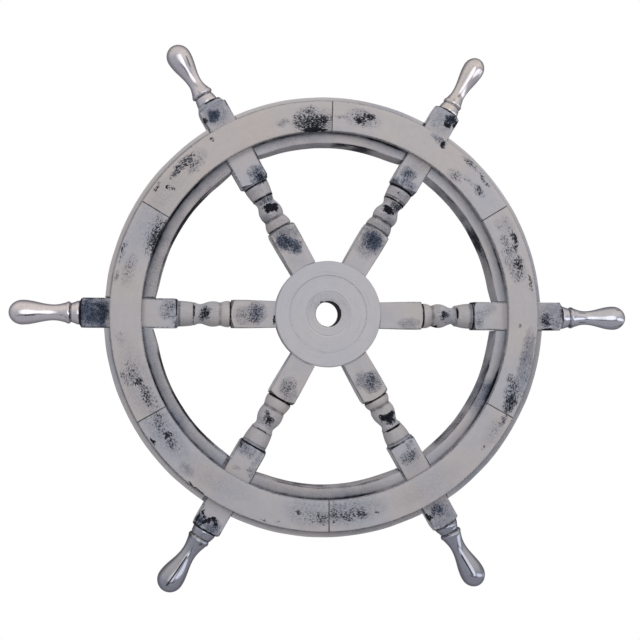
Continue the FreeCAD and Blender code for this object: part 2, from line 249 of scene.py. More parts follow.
def saw_off(piece, place, direction):
    """Saw off what lies behind a plane, and close the cut."""
    work_on(piece)
    bpy.ops.mesh.select_all(action="SELECT")
    bpy.ops.mesh.bisect(plane_co=place, plane_no=direction, use_fill=True, clear_inner=True)
    bpy.ops.object.mode_set(mode="OBJECT")


def drill_along(piece, radius, length, place, side, turn=0, vertices=48):
    """Drill a hole along a spoke's line. The place and the side say where its middle is."""
    clear_selection()
    bpy.ops.mesh.primitive_cylinder_add(
        vertices=vertices, radius=radius * MM, depth=length * MM)
    drill = bpy.context.object
    drill.data.transform(Matrix.Rotation(math.pi / 2, 4, "Y"))
    drill.data.transform(Matrix.Translation((place * MM, 0, side * MM)))
    turn_about_axis(drill, turn)
    cut_with(piece, drill, "DIFFERENCE")


def round_bar(radius, length, place):
    """A cylinder along the X axis, its middle at that place."""
    bpy.ops.mesh.primitive_cylinder_add(
        vertices=48, radius=radius * MM, depth=length * MM, location=(place * MM, 0, 0),
        rotation=(0, math.pi / 2, 0))
    return bpy.context.object


def draw_chain(name, points, closed):
    """Lay out a chain of edges by extruding one vertex from point to point."""
    clear_selection()
    bpy.ops.mesh.primitive_plane_add(size=MM)
    piece = name_piece(name)
    bpy.ops.object.mode_set(mode="EDIT")
    bpy.ops.mesh.select_mode(type="VERT")
    bpy.ops.mesh.select_all(action="SELECT")
    bpy.ops.mesh.merge(type="CENTER")
    bpy.ops.transform.translate(value=points[0])
    for before, after in zip(points, points[1:]):
        step = Vector(after) - Vector(before)
        bpy.ops.mesh.extrude_region_move(TRANSFORM_OT_translate={"value": step})
    if closed:
        ends = (Vector(points[0]), Vector(points[-1]))
        pick(piece, lambda place: min((place - end).length for end in ends) < TOUCHING)
        bpy.ops.mesh.edge_face_add()
    return piece


def close_mesh():
    """Weld the open mesh, turn its faces outwards and leave it."""
    bpy.ops.mesh.select_all(action="SELECT")
    bpy.ops.mesh.remove_doubles(threshold=WELD)
    bpy.ops.mesh.normals_make_consistent(inside=False)
    bpy.ops.object.mode_set(mode="OBJECT")


def turn_on_lathe(name, profile, steps=96):
    """Turn a profile of (along, radius) in millimetres round the X axis."""
    points = [(along * MM, 0, radius * MM) for along, radius in profile]
    piece = draw_chain(name, points, closed=False)
    bpy.ops.mesh.select_all(action="SELECT")
    bpy.ops.mesh.spin(
        steps=steps, angle=math.tau, center=(0, 0, 0), axis=(1, 0, 0))
    close_mesh()
    return piece


def curve_steps(start, end, shape, count):
    """Points from one (along, radius) to another. The shape eases the radius."""
    points = []
    for step in range(1, count + 1):
        share = step / count
        points.append((
            start[0] + (end[0] - start[0]) * share,
            start[1] + (end[1] - start[1]) * shape(share),
        ))
    return points


def swell(share):
    """Steep at first, then level, like the near side of a bulb."""
    return math.sin(share * math.pi / 2)


def dip(share):
    """Level at first, then steep, like the far side of a bulb."""
    return 1 - math.cos(share * math.pi / 2)


def ogee(share):
    """Level at both ends."""
    return (1 - math.cos(share * math.pi)) / 2


# A radius outside the square stock, where the lathe takes nothing off.
CLEAR = 21.0


def spoke_profile(shape):
    """What the lathe leaves of a spoke's square stock."""
    block, bead = shape["block"], shape["bead"]
    valley, bulb, waist, quirk = (shape[key] for key in ("valley", "bulb", "waist", "quirk"))
    collar, stub = shape["collar"], shape["stub"]
    vase_start = (quirk[0] + 1.5, quirk[1] + 0.1)
    profile = [(20.0, 0.0), (20.0, CLEAR), (block - 3.9, CLEAR), (block - 2.6, 16.9),
               (block - 1.4, 15.0), (block - 0.6, 13.6), (block - 0.2, 12.6),
               (block, bead - 0.9), (block + 0.6, bead - 0.9), (block + 1.1, bead - 0.1)]
    profile += curve_steps((block + 1.1, bead - 0.1), (block + 2.6, bead), swell, 3)
    profile += curve_steps((block + 2.6, bead), valley, dip, 9)
    profile += curve_steps(valley, bulb, swell, 9)
    profile += curve_steps(bulb, waist, lambda share: ogee(share ** 1.3), 14)
    profile += curve_steps(waist, quirk, lambda share: share ** 1.6, 8)
    profile += [(quirk[0] + 0.3, quirk[1] + 0.1), (quirk[0] + 0.8, quirk[1] - 0.5),
                (quirk[0] + 1.3, quirk[1] - 0.1), vase_start]
    profile += curve_steps(vase_start, (collar, 12.4), swell, 10)
    profile += [(collar + 0.5, 12.2), (collar + 1.0, 12.7), (collar + 1.8, 12.9),
                (collar + 2.2, 13.6), (collar + 2.8, 14.9), (collar + 3.8, 16.6),
                (collar + 5.2, CLEAR), (stub, CLEAR), (stub + 3.4, 14.6), (stub + 4.2, 13.8),
                (STUB_END, 11.9), (STUB_END + 1.5, 11.9), (STUB_END + 1.5, 0.0)]
    return profile


# Where the spokes' stock is divided, from where on it has the rim end's width, and the
# hub end's width, in millimetres.
STOCK_CUTS = (80, 94.5, 120, 150, 190)
RIM_END = 149
HUB_END_WIDTH = 25.2


def square_stock(sizes, wide):
    """A spoke's square stock with sanded edges, wider or narrower at its two ends."""
    clear_selection()
    stock, wear = sizes.stock, sizes.edge_wear
    start, end = sizes.hub_radius - 4 * MM, sizes.stub_end
    bpy.ops.mesh.primitive_cube_add(size=1)
    bar = name_piece("spoke_stock")
    bpy.ops.object.mode_set(mode="EDIT")
    bpy.ops.transform.resize(value=(end - start, stock, stock))
    bpy.ops.transform.translate(value=((start + end) / 2, 0, 0))
    for place in STOCK_CUTS:
        bpy.ops.mesh.select_all(action="SELECT")
        bpy.ops.mesh.bisect(plane_co=(place * MM, 0, 0), plane_no=(1, 0, 0))
    pick(bar, lambda place: place.x < start + 0.1 * MM)
    bpy.ops.transform.resize(value=(1, 1, HUB_END_WIDTH * MM / stock))
    pick(bar, lambda place: place.x > RIM_END * MM)
    bpy.ops.transform.resize(value=(1, 1, wide * MM / stock))
    mesh = bmesh.from_edit_mesh(bar.data)
    for edge in mesh.edges:
        along = edge.verts[1].co - edge.verts[0].co
        edge.select = abs(along.x) > 5 * MM
    bmesh.update_edit_mesh(bar.data)
    bpy.ops.mesh.bevel(offset=wear, segments=3, profile=0.6)
    clear_selection()
    return bar


def spoke_stock(sizes, wide):
    """The square stock, coped to the hub, with its tenon and the stud's hole."""
    bar = square_stock(sizes, wide)
    bpy.ops.mesh.primitive_cylinder_add(
        vertices=192, radius=sizes.hub_radius + 0.1 * MM, depth=60 * MM,
        rotation=(math.pi / 2, 0, 0))
    cut_with(bar, bpy.context.object, "DIFFERENCE")
    cut_with(bar, round_bar(TENON, 28, 44), "UNION")
    cut_with(bar, round_bar(STUD_HOLE, 30, 230), "DIFFERENCE")
    return bar


def between(start, end):
    """Points on a straight line, about 5 mm apart, that leave room for unevenness."""
    length = math.hypot(end[0] - start[0], end[1] - start[1])
    count = int(length / (5 * MM))
    return [
        tuple(a + (b - a) * step / (count + 1) for a, b in zip(start, end))
        for step in range(1, count + 1)
    ]


def worn_section(inner, outer, low, high, wear, worn_low, worn_high):
    """A rectangular section as (radius, depth), some of whose corners are sanded off."""
    def corner(radius, depth, radius_sign, depth_sign, rounded):
        if not rounded:
            return [(radius, depth)]
        points = []
        for step in range(4):
            angle = math.pi / 2 * step / 3
            points.append((
                radius - radius_sign * wear * (1 - math.sin(angle)),
                depth - depth_sign * wear * (1 - math.cos(angle)),
            ))
        return points

    section = []
    for side in (
            corner(outer, low, 1, -1, worn_low),
            list(reversed(corner(outer, high, 1, 1, worn_high))),
            corner(inner, high, -1, 1, worn_high),
            list(reversed(corner(inner, low, -1, -1, worn_low)))):
        if section:
            section += between(section[-1], side[0])
        section += side
    return section + between(section[-1], section[0])


def ring_piece(name, inner, outer, low, high, start, stop, wear, worn_low, worn_high):
    """A length of ring with a rectangular section, some of whose edges are sanded off.

    The section spans two radii and two depths, all in metres, and the ends are two
    angles in degrees. A worn side has both of its edges rounded.
    """
    first = math.radians(start)
    points = [
        (radius * math.cos(first), depth, radius * math.sin(first))
        for radius, depth in worn_section(inner, outer, low, high, wear, worn_low, worn_high)
    ]
    piece = draw_chain(name, points, closed=True)
    bpy.ops.mesh.select_all(action="SELECT")
    steps = max(8, round(stop - start))
    bpy.ops.mesh.spin(
        steps=steps, angle=math.radians(stop - start), center=(0, 0, 0), axis=(0, 1, 0))
    for angle in (start, stop):
        across = Vector((-math.sin(math.radians(angle)), 0, math.cos(math.radians(angle))))
        pick(piece, lambda place: abs(place.dot(across)) < TOUCHING)
        bpy.ops.mesh.edge_face_add()
    close_mesh()
    return piece


def sand_by_hand(piece, grain, depth):
    """Take a little off the surface unevenly, as sandpaper does, never adding any."""
    texture = bpy.data.textures.get("hand_sanding") or bpy.data.textures.new(
        "hand_sanding", "CLOUDS")
    texture.noise_scale = grain
    texture.noise_depth = 1
    add_modifier(
        piece, "DISPLACE", texture=texture, texture_coords="LOCAL", strength=depth,
        mid_level=1.0, direction="NORMAL")


class Wire:
    """One output of a shader node, on which Python's own signs do the shader's maths."""

    def __init__(self, tree, socket):
        self.tree = tree
        self.socket = socket

    def maths(self, operation, *others, clamp=False):
        node = self.tree.nodes.new("ShaderNodeMath")
        node.operation = operation
        node.use_clamp = clamp
        for place, value in enumerate((self,) + others):
            plug(self.tree, value, node.inputs[place])
        return Wire(self.tree, node.outputs[0])

    def __add__(self, other):
        return self.maths("ADD", other)

    __radd__ = __add__

    def __sub__(self, other):
        return self.maths("SUBTRACT", other)

    def __rsub__(self, other):
        return (self * -1) + other

    def __mul__(self, other):
        return self.maths("MULTIPLY", other)

    __rmul__ = __mul__

    def __pow__(self, other):
        return self.maths("POWER", other)

    def __abs__(self):
        return self.maths("ABSOLUTE")

    def least(self, other):
        return self.maths("MINIMUM", other)

    def most(self, other):
        return self.maths("MAXIMUM", other)

    def held(self):
        """The value kept between 0 and 1."""
        return self.maths("ADD", 0.0, clamp=True)

    def ramp(self, low, high):
        """0 below the low value, 1 above the high one, and a straight slope between."""
        return ((self - low) * (1 / (high - low))).held()

    def near(self, place, reach):
        """1 at a place, falling to 0 at a distance of reach."""
        return (1 - abs(self - place) * (1 / reach)).held()


def plug(tree, value, socket):
    """Link a wire to a socket, or give the socket a plain value."""
    if isinstance(value, Wire):
        tree.links.new(value.socket, socket)
    else:
        socket.default_value = value


class NodeTree:
    """The nodes of a material or of the sky, made from nothing."""

    def __init__(self, owner):
        owner.use_nodes = True
        self.tree = owner.node_tree
        self.tree.nodes.clear()

    def node(self, kind, settings=None, values=None, output=0):
        """Add a node: its settings first, then its sockets. Gives one output."""
        node = self.tree.nodes.new(kind)
        for setting, value in (settings or {}).items():
            setattr(node, setting, value)
        for socket, value in (values or {}).items():
            plug(self.tree, value, node.inputs[socket])
        return Wire(self.tree, node.outputs[output])

    def blend(self, first, second, share):
        """One colour laid over another."""
        values = {0: share, 6: colour(first), 7: colour(second)}
        return self.node("ShaderNodeMix", {"data_type": "RGBA"}, values, output=2)

    def split(self, vector):
        """The three parts of a vector."""
        node = self.tree.nodes.new("ShaderNodeSeparateXYZ")
        plug(self.tree, vector, node.inputs[0])
        return [Wire(self.tree, output) for output in node.outputs]


class Recipe(NodeTree):
    """A material in the making."""

    def __init__(self, name):
        self.material = bpy.data.materials.new(name)
        super().__init__(self.material)

    def noise(self, place, size, detail=2.0, roughness=0.5, stretch=(1, 1, 1)):
        """Soft noise whose lumps are about that many millimetres wide."""
        where = self.node("ShaderNodeMapping", {}, {
            "Vector": place, "Scale": tuple(s / size for s in stretch)})
        return self.node("ShaderNodeTexNoise", {}, {
            "Vector": where, "Scale": 1.0, "Detail": detail, "Roughness": roughness})

    def local_place(self, turn, offset=0.0):
        """Millimetres along a spoke at that angle, in depth, and across it."""
        place = self.node("ShaderNodeTexCoord", output=3)
        return self.node("ShaderNodeMapping", {}, {
            "Vector": place, "Rotation": (0, math.radians(turn), 0),
            "Scale": (1000, 1000, 1000), "Location": (0, 0, offset)})

    def facing(self, turn):
        """The surface's direction, seen from a spoke at that angle."""
        normal = self.node("ShaderNodeTexCoord", output=1)
        return self.node("ShaderNodeMapping", {"vector_type": "NORMAL"}, {
            "Vector": normal, "Rotation": (0, math.radians(turn), 0)})

    def surface(self, **sockets):
        """The shader itself and the material's output."""
        node = self.tree.nodes.new("ShaderNodeBsdfPrincipled")
        for socket, value in sockets.items():
            plug(self.tree, value, node.inputs[socket.replace("_", " ")])
        output = self.tree.nodes.new("ShaderNodeOutputMaterial")
        self.tree.links.new(node.outputs[0], output.inputs[0])
        return self.material

    def hide_from_mirrors(self):
        """Let mirrored light pass, so that polished metal doesn't show this surface."""
        output = next(node for node in self.tree.nodes if node.type == "OUTPUT_MATERIAL")
        seen = Wire(self.tree, output.inputs[0].links[0].from_socket)
        passing = self.node("ShaderNodeBsdfTransparent")
        glossy = self.node("ShaderNodeLightPath", output=3)
        mixed = self.node("ShaderNodeMixShader", {}, {0: glossy, 1: seen, 2: passing})
        self.tree.links.new(mixed.socket, output.inputs[0])


def colour(value):
    """A wire as it is, or a plain colour with its alpha."""
    return value if isinstance(value, Wire) else (*tuple(value)[:3], 1.0)


# Rubbed places on each spoke's front: along, across, half length, half width, how much
# haze and how much bare undercoat. Across counts anticlockwise. Millimetres.
SPOKE_RUBS = [
    [(79, -8, 14, 7, 0.5, 0.1), (114.8, 0.9, 5.6, 5.6, 1.4, 1.15), (119, -1, 10, 9, 0.5, 0.1),
     (107.3, -10.4, 2.6, 2.4, 0.6, 1.7), (125.3, -9.4, 1.6, 1.5, 0.4, 1.3),
     (109, 0, 6, 14, 0.3, 0.0), (101, -2, 5, 12, 0.22, 0.0), (149, -4, 7, 10, 0.5, 0.42),
     (160, 8, 8, 8, 0.3, 0.12), (153, 2, 8, 8, 0.3, 0.16), (145.6, 12.6, 2.0, 2.2, 0.3, 1.4),
     (217.5, -3, 7, 11, 1.0, 0.86), (219, -13.4, 8, 2.0, 0.5, 1.6), (225, -7, 9, 9, 0.6, 0.5),
     (226, 2, 22, 22, 0.50, 0.14), (233, 5, 4, 12, 0.6, 0.75)],
    [(83.5, -0.5, 15, 14, 1.30, 0.70), (91, 4, 10, 13, 0.6, 0.40), (75, 2, 12, 14, 0.5, 0.20),
     (100, 0, 8, 16, 0.60, 0.20), (105, -2, 8, 15, 0.5, 0.0), (111, -3, 6, 13, 0.5, 0.05),
     (118.6, 1.2, 4.8, 7.4, 0.8, 1.5), (125.6, -3.5, 6.6, 8.0, 0.9, 0.9),
     (138, 1, 2.4, 2.4, 0.4, 1.0), (137, -3, 8, 13, 0.4, 0.05), (159, 3, 9, 10, 0.9, 0.55),
     (150, -1, 8, 12, 0.75, 0.50), (147, 10, 6, 6, 0.8, 0.45), (170, 0, 9, 14, 0.25, 0.05),
     (228, -6, 7.5, 8.5, 1.3, 0.98), (221.8, -6, 2.8, 6, 0.5, 1.6),
     (227, -12.4, 6, 2.0, 0.5, 1.4), (216, 6, 5, 6, 0.4, 0.25), (224, 2, 16, 18, 0.40, 0.0)],
    [(81.5, 5, 11, 10, 1.30, 0.76), (73.5, -3, 10, 9, 1.15, 0.72), (78, 1, 9, 8, 1.30, 0.74),
     (90, 1, 11, 13, 0.7, 0.42), (86, -8, 10, 8, 0.5, 0.15), (62, 2, 10, 12, 0.1, 0.0),
     (101, 2, 6, 13, 0.35, 0.1), (109.5, 7, 7, 8, 0.5, 0.05), (110, -2, 6, 13, 0.25, 0.0),
     (117.2, -1.2, 5.4, 9.0, 0.8, 1.7), (126.0, -1, 5.4, 9.5, 0.9, 0.72),
     (137, 2, 7, 12, 0.25, 0.0), (148, -5, 8, 9, 1.2, 0.78), (154, -6, 9, 10, 0.9, 0.60),
     (221, 3.0, 9, 10, 1.40, 0.72), (224, 1, 17, 18, 0.60, 0.18), (221, 13.2, 4, 3, 0.5, 1.1)],
    [(70, -1, 12, 13, 0.85, 0.66), (79, 2, 13, 12, 0.5, 0.48), (52, 6, 1.6, 5, 0.3, 1.2),
     (118.6, 0, 6.8, 8.4, 0.7, 1.0), (119, 0, 9, 11, 0.35, 0.3), (110, -2, 5, 13, 0.15, 0.0),
     (152.5, -4, 11, 12, 0.5, 0.57), (147, 3, 4, 11, 0.35, 0.48), (215, 1, 9, 20, 1.5, 0.80),
     (224, 0, 17, 20, 1.35, 0.62), (233, 0, 10, 17, 1.25, 0.60)],
    [(80, 0, 11, 10, 0.60, 0.60), (86, 5, 10, 10, 0.45, 0.30), (116, 1, 6.0, 7.0, 0.7, 1.05),
     (112, -4, 4, 4, 0.4, 0.78), (110, 0, 7, 13, 0.18, 0.05), (122, 0, 4, 9, 0.3, 0.4),
     (151, -5, 9, 12, 0.6, 0.42), (148, -11.5, 6, 3, 0.6, 1.0), (155, 9, 12, 4, 0.4, 0.35),
     (167, 10, 6, 6, 0.45, 0.45), (171, -4, 3, 5, 0.3, 0.4), (230, 4.0, 9, 10, 1.0, 0.55),
     (229.5, -9, 9, 7, 1.0, 0.65), (222.4, 1.0, 3.0, 2.6, 0.5, 1.7),
     (225.2, 4.8, 2.4, 4.0, 0.5, 1.4), (225.4, -2.4, 3.2, 2.4, 0.5, 1.6),
     (227.8, -5.4, 2.4, 3.0, 0.5, 1.4), (224.6, -8.4, 2.6, 2.2, 0.5, 1.3),
     (221.8, -11.4, 3.2, 2.4, 0.5, 1.6), (231, -12.6, 6, 1.8, 0.5, 1.5),
     (235, -9, 2.4, 4, 0.5, 1.3)],
    [(77.5, 3, 12, 12, 0.95, 0.66), (73, -4, 11, 10, 0.6, 0.36),
     (115.4, 1.0, 5.2, 9.6, 0.8, 1.6), (120, 1.5, 5.4, 6.4, 0.7, 1.2),
     (105, 0, 6, 12, 0.2, 0.05), (159, 0, 8.5, 13, 0.65, 0.62), (149, 5, 5, 6, 0.4, 0.45),
     (168, 0, 8, 12, 0.2, 0.05), (217.5, -0.5, 8.5, 10, 1.1, 0.76),
     (219.5, -13.0, 5.5, 2.0, 0.5, 1.6), (220, -10.4, 1.8, 2.2, 0.5, 1.4),
     (222, 0, 22, 22, 0.58, 0.14), (229, 0, 8, 12, 0.4, 0.36)],
]

# Dark lines round each spoke, painted shade and grime in its grooves: place, half width,
# strength, middle and half reach. A negative strength is a pale ridge, a painted highlight.
SPOKE_GROOVES = [
    [(94.2, 0.9, 1.3, 0, 15), (128.7, 0.9, 1.4, 2.5, 6), (142.0, 1.3, 0.5, -1, 15),
     (104.0, 1.3, 0.45, 0, 15), (144.4, 0.7, 1.1, -4, 13), (143.8, 0.7, 0.6, 11, 6),
     (235.4, 0.9, 1.4, 5, 13)],
    [(96.6, 1.0, 0.5, 0, 15), (107.0, 1.3, 0.75, 0, 15), (130.4, 0.8, 1.3, 0, 15),
     (131.5, 0.6, -0.9, 1, 12), (132.6, 0.7, 0.8, 0, 14), (143.9, 1.0, 1.6, 0, 16),
     (235.6, 0.9, 1.5, 0, 18)],
    [(95.9, 0.8, 0.85, 3, 15), (106.6, 1.2, 0.6, 4, 13), (129.5, 0.8, 1.3, -1, 13),
     (130.8, 0.6, -0.8, -2, 10), (143.5, 0.8, 1.2, 0, 16), (146.0, 0.8, 0.6, -8, 8),
     (235.8, 0.9, 1.3, -5, 12)],
    [(94.1, 0.6, 1.1, 0, 15), (104.0, 1.2, 0.35, 0, 15), (128.9, 0.8, 1.2, -2.5, 6),
     (142.9, 1.1, 0.6, 0, 15), (145.4, 0.6, 1.2, -6, 9), (235.4, 1.1, 1.5, 0, 18)],
    [(94.1, 0.9, 1.4, 0, 16), (105.4, 1.2, 0.5, 0, 15), (128.3, 0.6, 1.0, -1, 5.5),
     (142.6, 1.0, 0.45, 0, 15), (145.2, 0.7, 1.6, 0, 15), (235.9, 0.8, 1.5, 0, 18)],
    [(94.6, 0.7, 1.2, 0, 15), (103.6, 1.2, 0.45, 0, 15), (127.9, 0.85, 1.5, 0.5, 8.5),
     (141.2, 1.0, 0.5, 0, 15), (143.9, 0.6, 1.0, -5, 10), (235.2, 0.9, 0.8, 0, 16)],
]

# Rubbed long edges of each spoke: middle, half length, side and strength.
SPOKE_EDGES = [
    [(76, 18, -1, 0.9), (158, 14, -1, 0.8), (217, 8, -1, 1.4), (233, 6, 1, 0.9),
     (150, 8, 1, 0.4)],
    [(82, 14, -1, 0.8), (213, 7, 1, 1.3), (158, 14, -1, 0.5), (150, 7, 1, 0.8),
     (85, 12, 1, 0.5)],
    [(72, 24, 1, 1.0), (84, 11, -1, 0.8), (160, 17, -1, 1.2), (226, 8, -1, 1.0),
     (217, 8, 1, 1.0), (158, 12, 1, 0.5)],
    [(161, 16, -1, 0.9), (75, 20, -1, 0.35), (75, 16, 1, 0.35), (222, 16, 1, 0.9),
     (222, 16, -1, 0.9)],
    [(157, 11, 1, 1.4), (151, 8, -1, 1.1), (75, 20, 1, 0.45), (225, 12, -1, 0.9),
     (232, 5, 1, 0.8)],
    [(77, 18, -1, 0.9), (74, 7, 1, 0.8), (160, 16, -1, 1.2), (158, 12, 1, 0.5),
     (222, 12, -1, 1.1)],
]

# Rubbed places on each felloe's front: angle, radius, half width in degrees, half
# height in millimetres, haze, bare undercoat.
FELLOE_RUBS = [
    [(22.6, 199, 2.9, 3.4, 0.4, 1.05), (20, 196, 2.4, 4, 0.4, 0.85),
     (23, 190, 2.4, 6, 0.4, 0.66), (19.4, 190, 2.0, 8, 0.4, 0.66),
     (15.4, 194.5, 2.6, 7, 0.5, 1.0), (12.3, 192, 3, 10, 0.4, 0.62), (17, 189, 8, 9, 0.35, 0.5),
     (9.5, 203, 3.4, 3.0, 0.4, 0.85), (-2.9, 189, 1.2, 2.4, 0.5, 0.55),
     (-25.4, 198.5, 4.4, 8, 0.8, 0.98), (-22.5, 197, 5, 9.5, 0.65, 0.72),
     (-18.9, 190, 1.9, 6, 0.4, 0.75), (-20.5, 199, 2.0, 4, 0.4, 0.6),
     (-13, 200, 11, 8, 0.7, 0.36), (-14, 204, 12, 4, 0.6, 0.2), (28, 189, 2.4, 4, 0.2, 0.4),
     (26.5, 197, 5, 9, 0.2, 0.30)],
    [(81.4, 192, 2.6, 5.5, 0.5, 1.15), (78.5, 197, 2.6, 5.5, 0.5, 1.1),
     (80.4, 194, 6, 11, 0.4, 0.62), (56.5, 201.5, 1.0, 4.6, 0.6, 1.35),
     (57.2, 203, 2.0, 5, 0.6, 0.7), (58.6, 204, 2.6, 4, 0.7, 0.4),
     (47, 204.5, 4, 3.0, 0.4, 0.85), (48, 185, 3, 7, 0.4, 0.66),
     (41.5, 203.4, 3.8, 2.0, 0.3, 0.8), (40.0, 192.5, 2.8, 5, 0.4, 0.7),
     (44, 191, 2.2, 3, 0.3, 0.5), (86, 192.5, 3.4, 2.4, 0.4, 0.4)],
    [(95.4, 186, 4.6, 10, 0.7, 1.05), (92.6, 188, 3.2, 7, 0.6, 1.05),
     (95.0, 179.6, 4.6, 2.6, 0.6, 1.8), (98.8, 188, 3.4, 10, 0.5, 0.85),
     (96.5, 197, 4.2, 7.5, 0.4, 0.66), (94, 186, 9, 15, 0.5, 0.42),
     (103.9, 190, 2.4, 4.5, 0.5, 0.42), (133.6, 200, 3.6, 5.5, 0.6, 0.92),
     (137, 199.5, 4.0, 5, 0.6, 0.90), (142.2, 192.5, 0.9, 6, 0.3, 0.85),
     (142.8, 196.5, 0.6, 1.2, 0.3, 1.2), (144.3, 203.5, 1.9, 2.6, 0.3, 0.9),
     (133, 192, 4.0, 8, 0.35, 0.55), (131, 196, 4, 9, 0.3, 0.42),
     (124.6, 202, 0.7, 3, 0.2, 0.8), (146, 193, 13, 16, 0.14, 0.0)],
    [(200.2, 191, 1.5, 4.4, 0.6, 1.0), (197.5, 194, 4.2, 9, 0.45, 0.70),
     (204.5, 189, 5.4, 7, 0.5, 0.78), (198, 202.5, 3.2, 3.4, 0.4, 0.72),
     (207, 187, 5, 9, 0.35, 0.5), (187.6, 198, 2.8, 6, 0.2, 0.46),
     (163.4, 205.0, 1.6, 1.4, 0.5, 1.1), (164, 204, 4, 3, 0.4, 0.6),
     (170.6, 204.4, 2.2, 2.6, 0.4, 0.66), (168, 195, 6, 9, 0.25, 0.42),
     (157.0, 181.5, 6.8, 7.0, 0.5, 0.86), (155, 186, 8, 7, 0.4, 0.46),
     (157, 178.6, 8, 2.4, 0.4, 1.1), (200, 192, 14, 16, 0.22, 0.1),
     (154, 195, 13, 16, 0.14, 0.0)],
    [(217.3, 191, 1.8, 4.4, 0.5, 0.95), (219.6, 192, 4.2, 6.5, 0.45, 0.66),
     (213.6, 191, 4, 8, 0.45, 0.64), (211, 188, 2.4, 6, 0.4, 0.66),
     (216.2, 204.8, 1.2, 1.8, 0.3, 1.4), (228, 199, 3.4, 6, 0.45, 0.16),
     (216, 192, 12, 15, 0.35, 0.15), (236, 190, 14, 16, 0.14, 0.0),
     (261.8, 191.5, 1.4, 4, 0.4, 0.85), (269, 194, 3.8, 8, 0.5, 0.66),
     (265, 193, 5, 8, 0.35, 0.50), (265, 190, 9, 16, 0.3, 0.12),
     (233, 206.8, 3.4, 0.9, 0.4, 1.7), (253, 205.2, 1.6, 1.4, 0.3, 0.8),
     (256.3, 202.5, 1.0, 1.2, 0.3, 0.6)],
    [(279.6, 193, 3.0, 8, 0.5, 0.76), (275.5, 193, 6, 9.5, 0.5, 0.66),
     (271.8, 192, 2.4, 9, 0.5, 0.74), (284.2, 196, 1.5, 3.0, 0.3, 0.7),
     (329.6, 200.5, 3.2, 4, 0.45, 0.60), (274, 187, 7, 9, 0.45, 0.42),
     (277, 190, 12, 16, 0.34, 0.12), (319.8, 199.5, 1.4, 2.0, 0.3, 0.6),
     (300, 192, 14, 16, 0.12, 0.0), (325, 198, 6, 9, 0.2, 0.28)],
]

# How warm the whitewash of each felloe and of each rail segment is.
FELLOE_WARMTH = [0.66, 0.85, 1.45, 0.75, 0.38, 0.62]
RAIL_WARMTH = [0.46, 0.66, 1.25, 0.55, 0.90, 0.50]

# How dark the painted shade in the corner at the felloes' inner edge is, going
# round: angle, half width, strength.
STEP_SHADE = [(337, 8, 1.9), (330, 14, 0.9), (72, 11, 1.4), (87, 9, 0.8), (144, 17, 1.5),
              (157, 10, 1.3), (206, 20, 1.1), (276, 13, 1.3), (262, 14, 0.8), (17, 9, 1.0),
              (28, 14, 0.55), (108, 14, 0.9), (48, 10, 0.5), (228, 10, 0.8), (125, 12, 0.6)]

# Dark places on the rim's inner wall, rubbed paint and painted shade: angle, half width,
# strength.
WALL_RUBS_AND_SHADE = [(24, 15, 1.2), (82, 9, 1.9), (100, 12, 0.45), (148, 18, 2.0), (165, 10, 1.2),
             (216, 20, 2.0), (200, 10, 1.8), (336, 14, 1.4), (318, 14, 1.0), (262, 14, 1.1),
             (282, 12, 0.9), (52, 12, 0.9), (125, 14, 0.8), (40, 12, 0.9), (5, 9, 0.7),
             (354, 8, 0.6), (300, 14, 0.6), (240, 12, 0.8)]

# Rubbed paint and painted shade on the rim's front outside the felloes and inside them:
# angle, half width, haze.
LIP_RUBS_AND_SHADE = [(288, 24, 0.42), (318, 20, 0.48), (343, 18, 0.46), (262, 18, 0.10), (196, 18, 0.22),
            (222, 22, 0.14), (165, 16, 0.04), (18, 16, 0.30), (240, 18, 0.14), (5, 6, 0.45),
            (350, 12, 0.42), (48, 16, 0.10), (76, 14, 0.24)]
BAND_RUBS_AND_SHADE = [(333, 8, 0.9), (160, 28, 0.55), (205, 28, 0.50), (130, 20, 0.58), (100, 16, 0.36),
             (275, 18, 0.40), (235, 18, 0.34), (14, 14, 0.12), (70, 16, 0.26), (345, 14, 0.22),
             (255, 16, 0.30), (30, 14, 0.12), (310, 14, 0.08)]


def rubbed(along, across, rubs):
    """Two fields from a list of rubbed places: haze and bare undercoat."""
    haze, bare = None, None
    for rub in rubs:
        away = ((along - rub[0]) * (1 / rub[2])) ** 2 + ((across - rub[1]) * (1 / rub[3])) ** 2
        dome = (1 - away).held()
        if rub[4]:
            part = dome * rub[4] * 1.2
            haze = part if haze is None else haze.most(part)
        if rub[5]:
            part = dome ** 0.6 * rub[5]
            bare = part if bare is None else bare.most(part)
    return haze, bare


def round_the_rim(arc, turn, marks, default):
    """A strength that changes with the angle, from a list of (angle, half width, strength)."""
    total = None
    for angle, half, strength in marks:
        if abs(arc_of(angle, turn)) < 175:
            part = arc.near(arc_of(angle, turn), math.radians(half) * FELLOE_MIDDLE)
            part = (part * 1.7).held() * strength
            total = part if total is None else total.most(part)
    return total if total is not None else arc * 0 + default


# Tones of the whitewash in thin and in thick strokes, of its pale tone, which also lays
# painted highlights and painted light, and of haze that is rubbed down almost to the
# undercoat, which also deepens painted shade.
THIN_STROKES = (0.29, 0.285, 0.29)
THICK_STROKES = (0.55, 0.53, 0.535)
PALE_TONE_AND_HIGHLIGHT = (0.62, 0.61, 0.63)
DEEP_HAZE = (0.016, 0.021, 0.036)


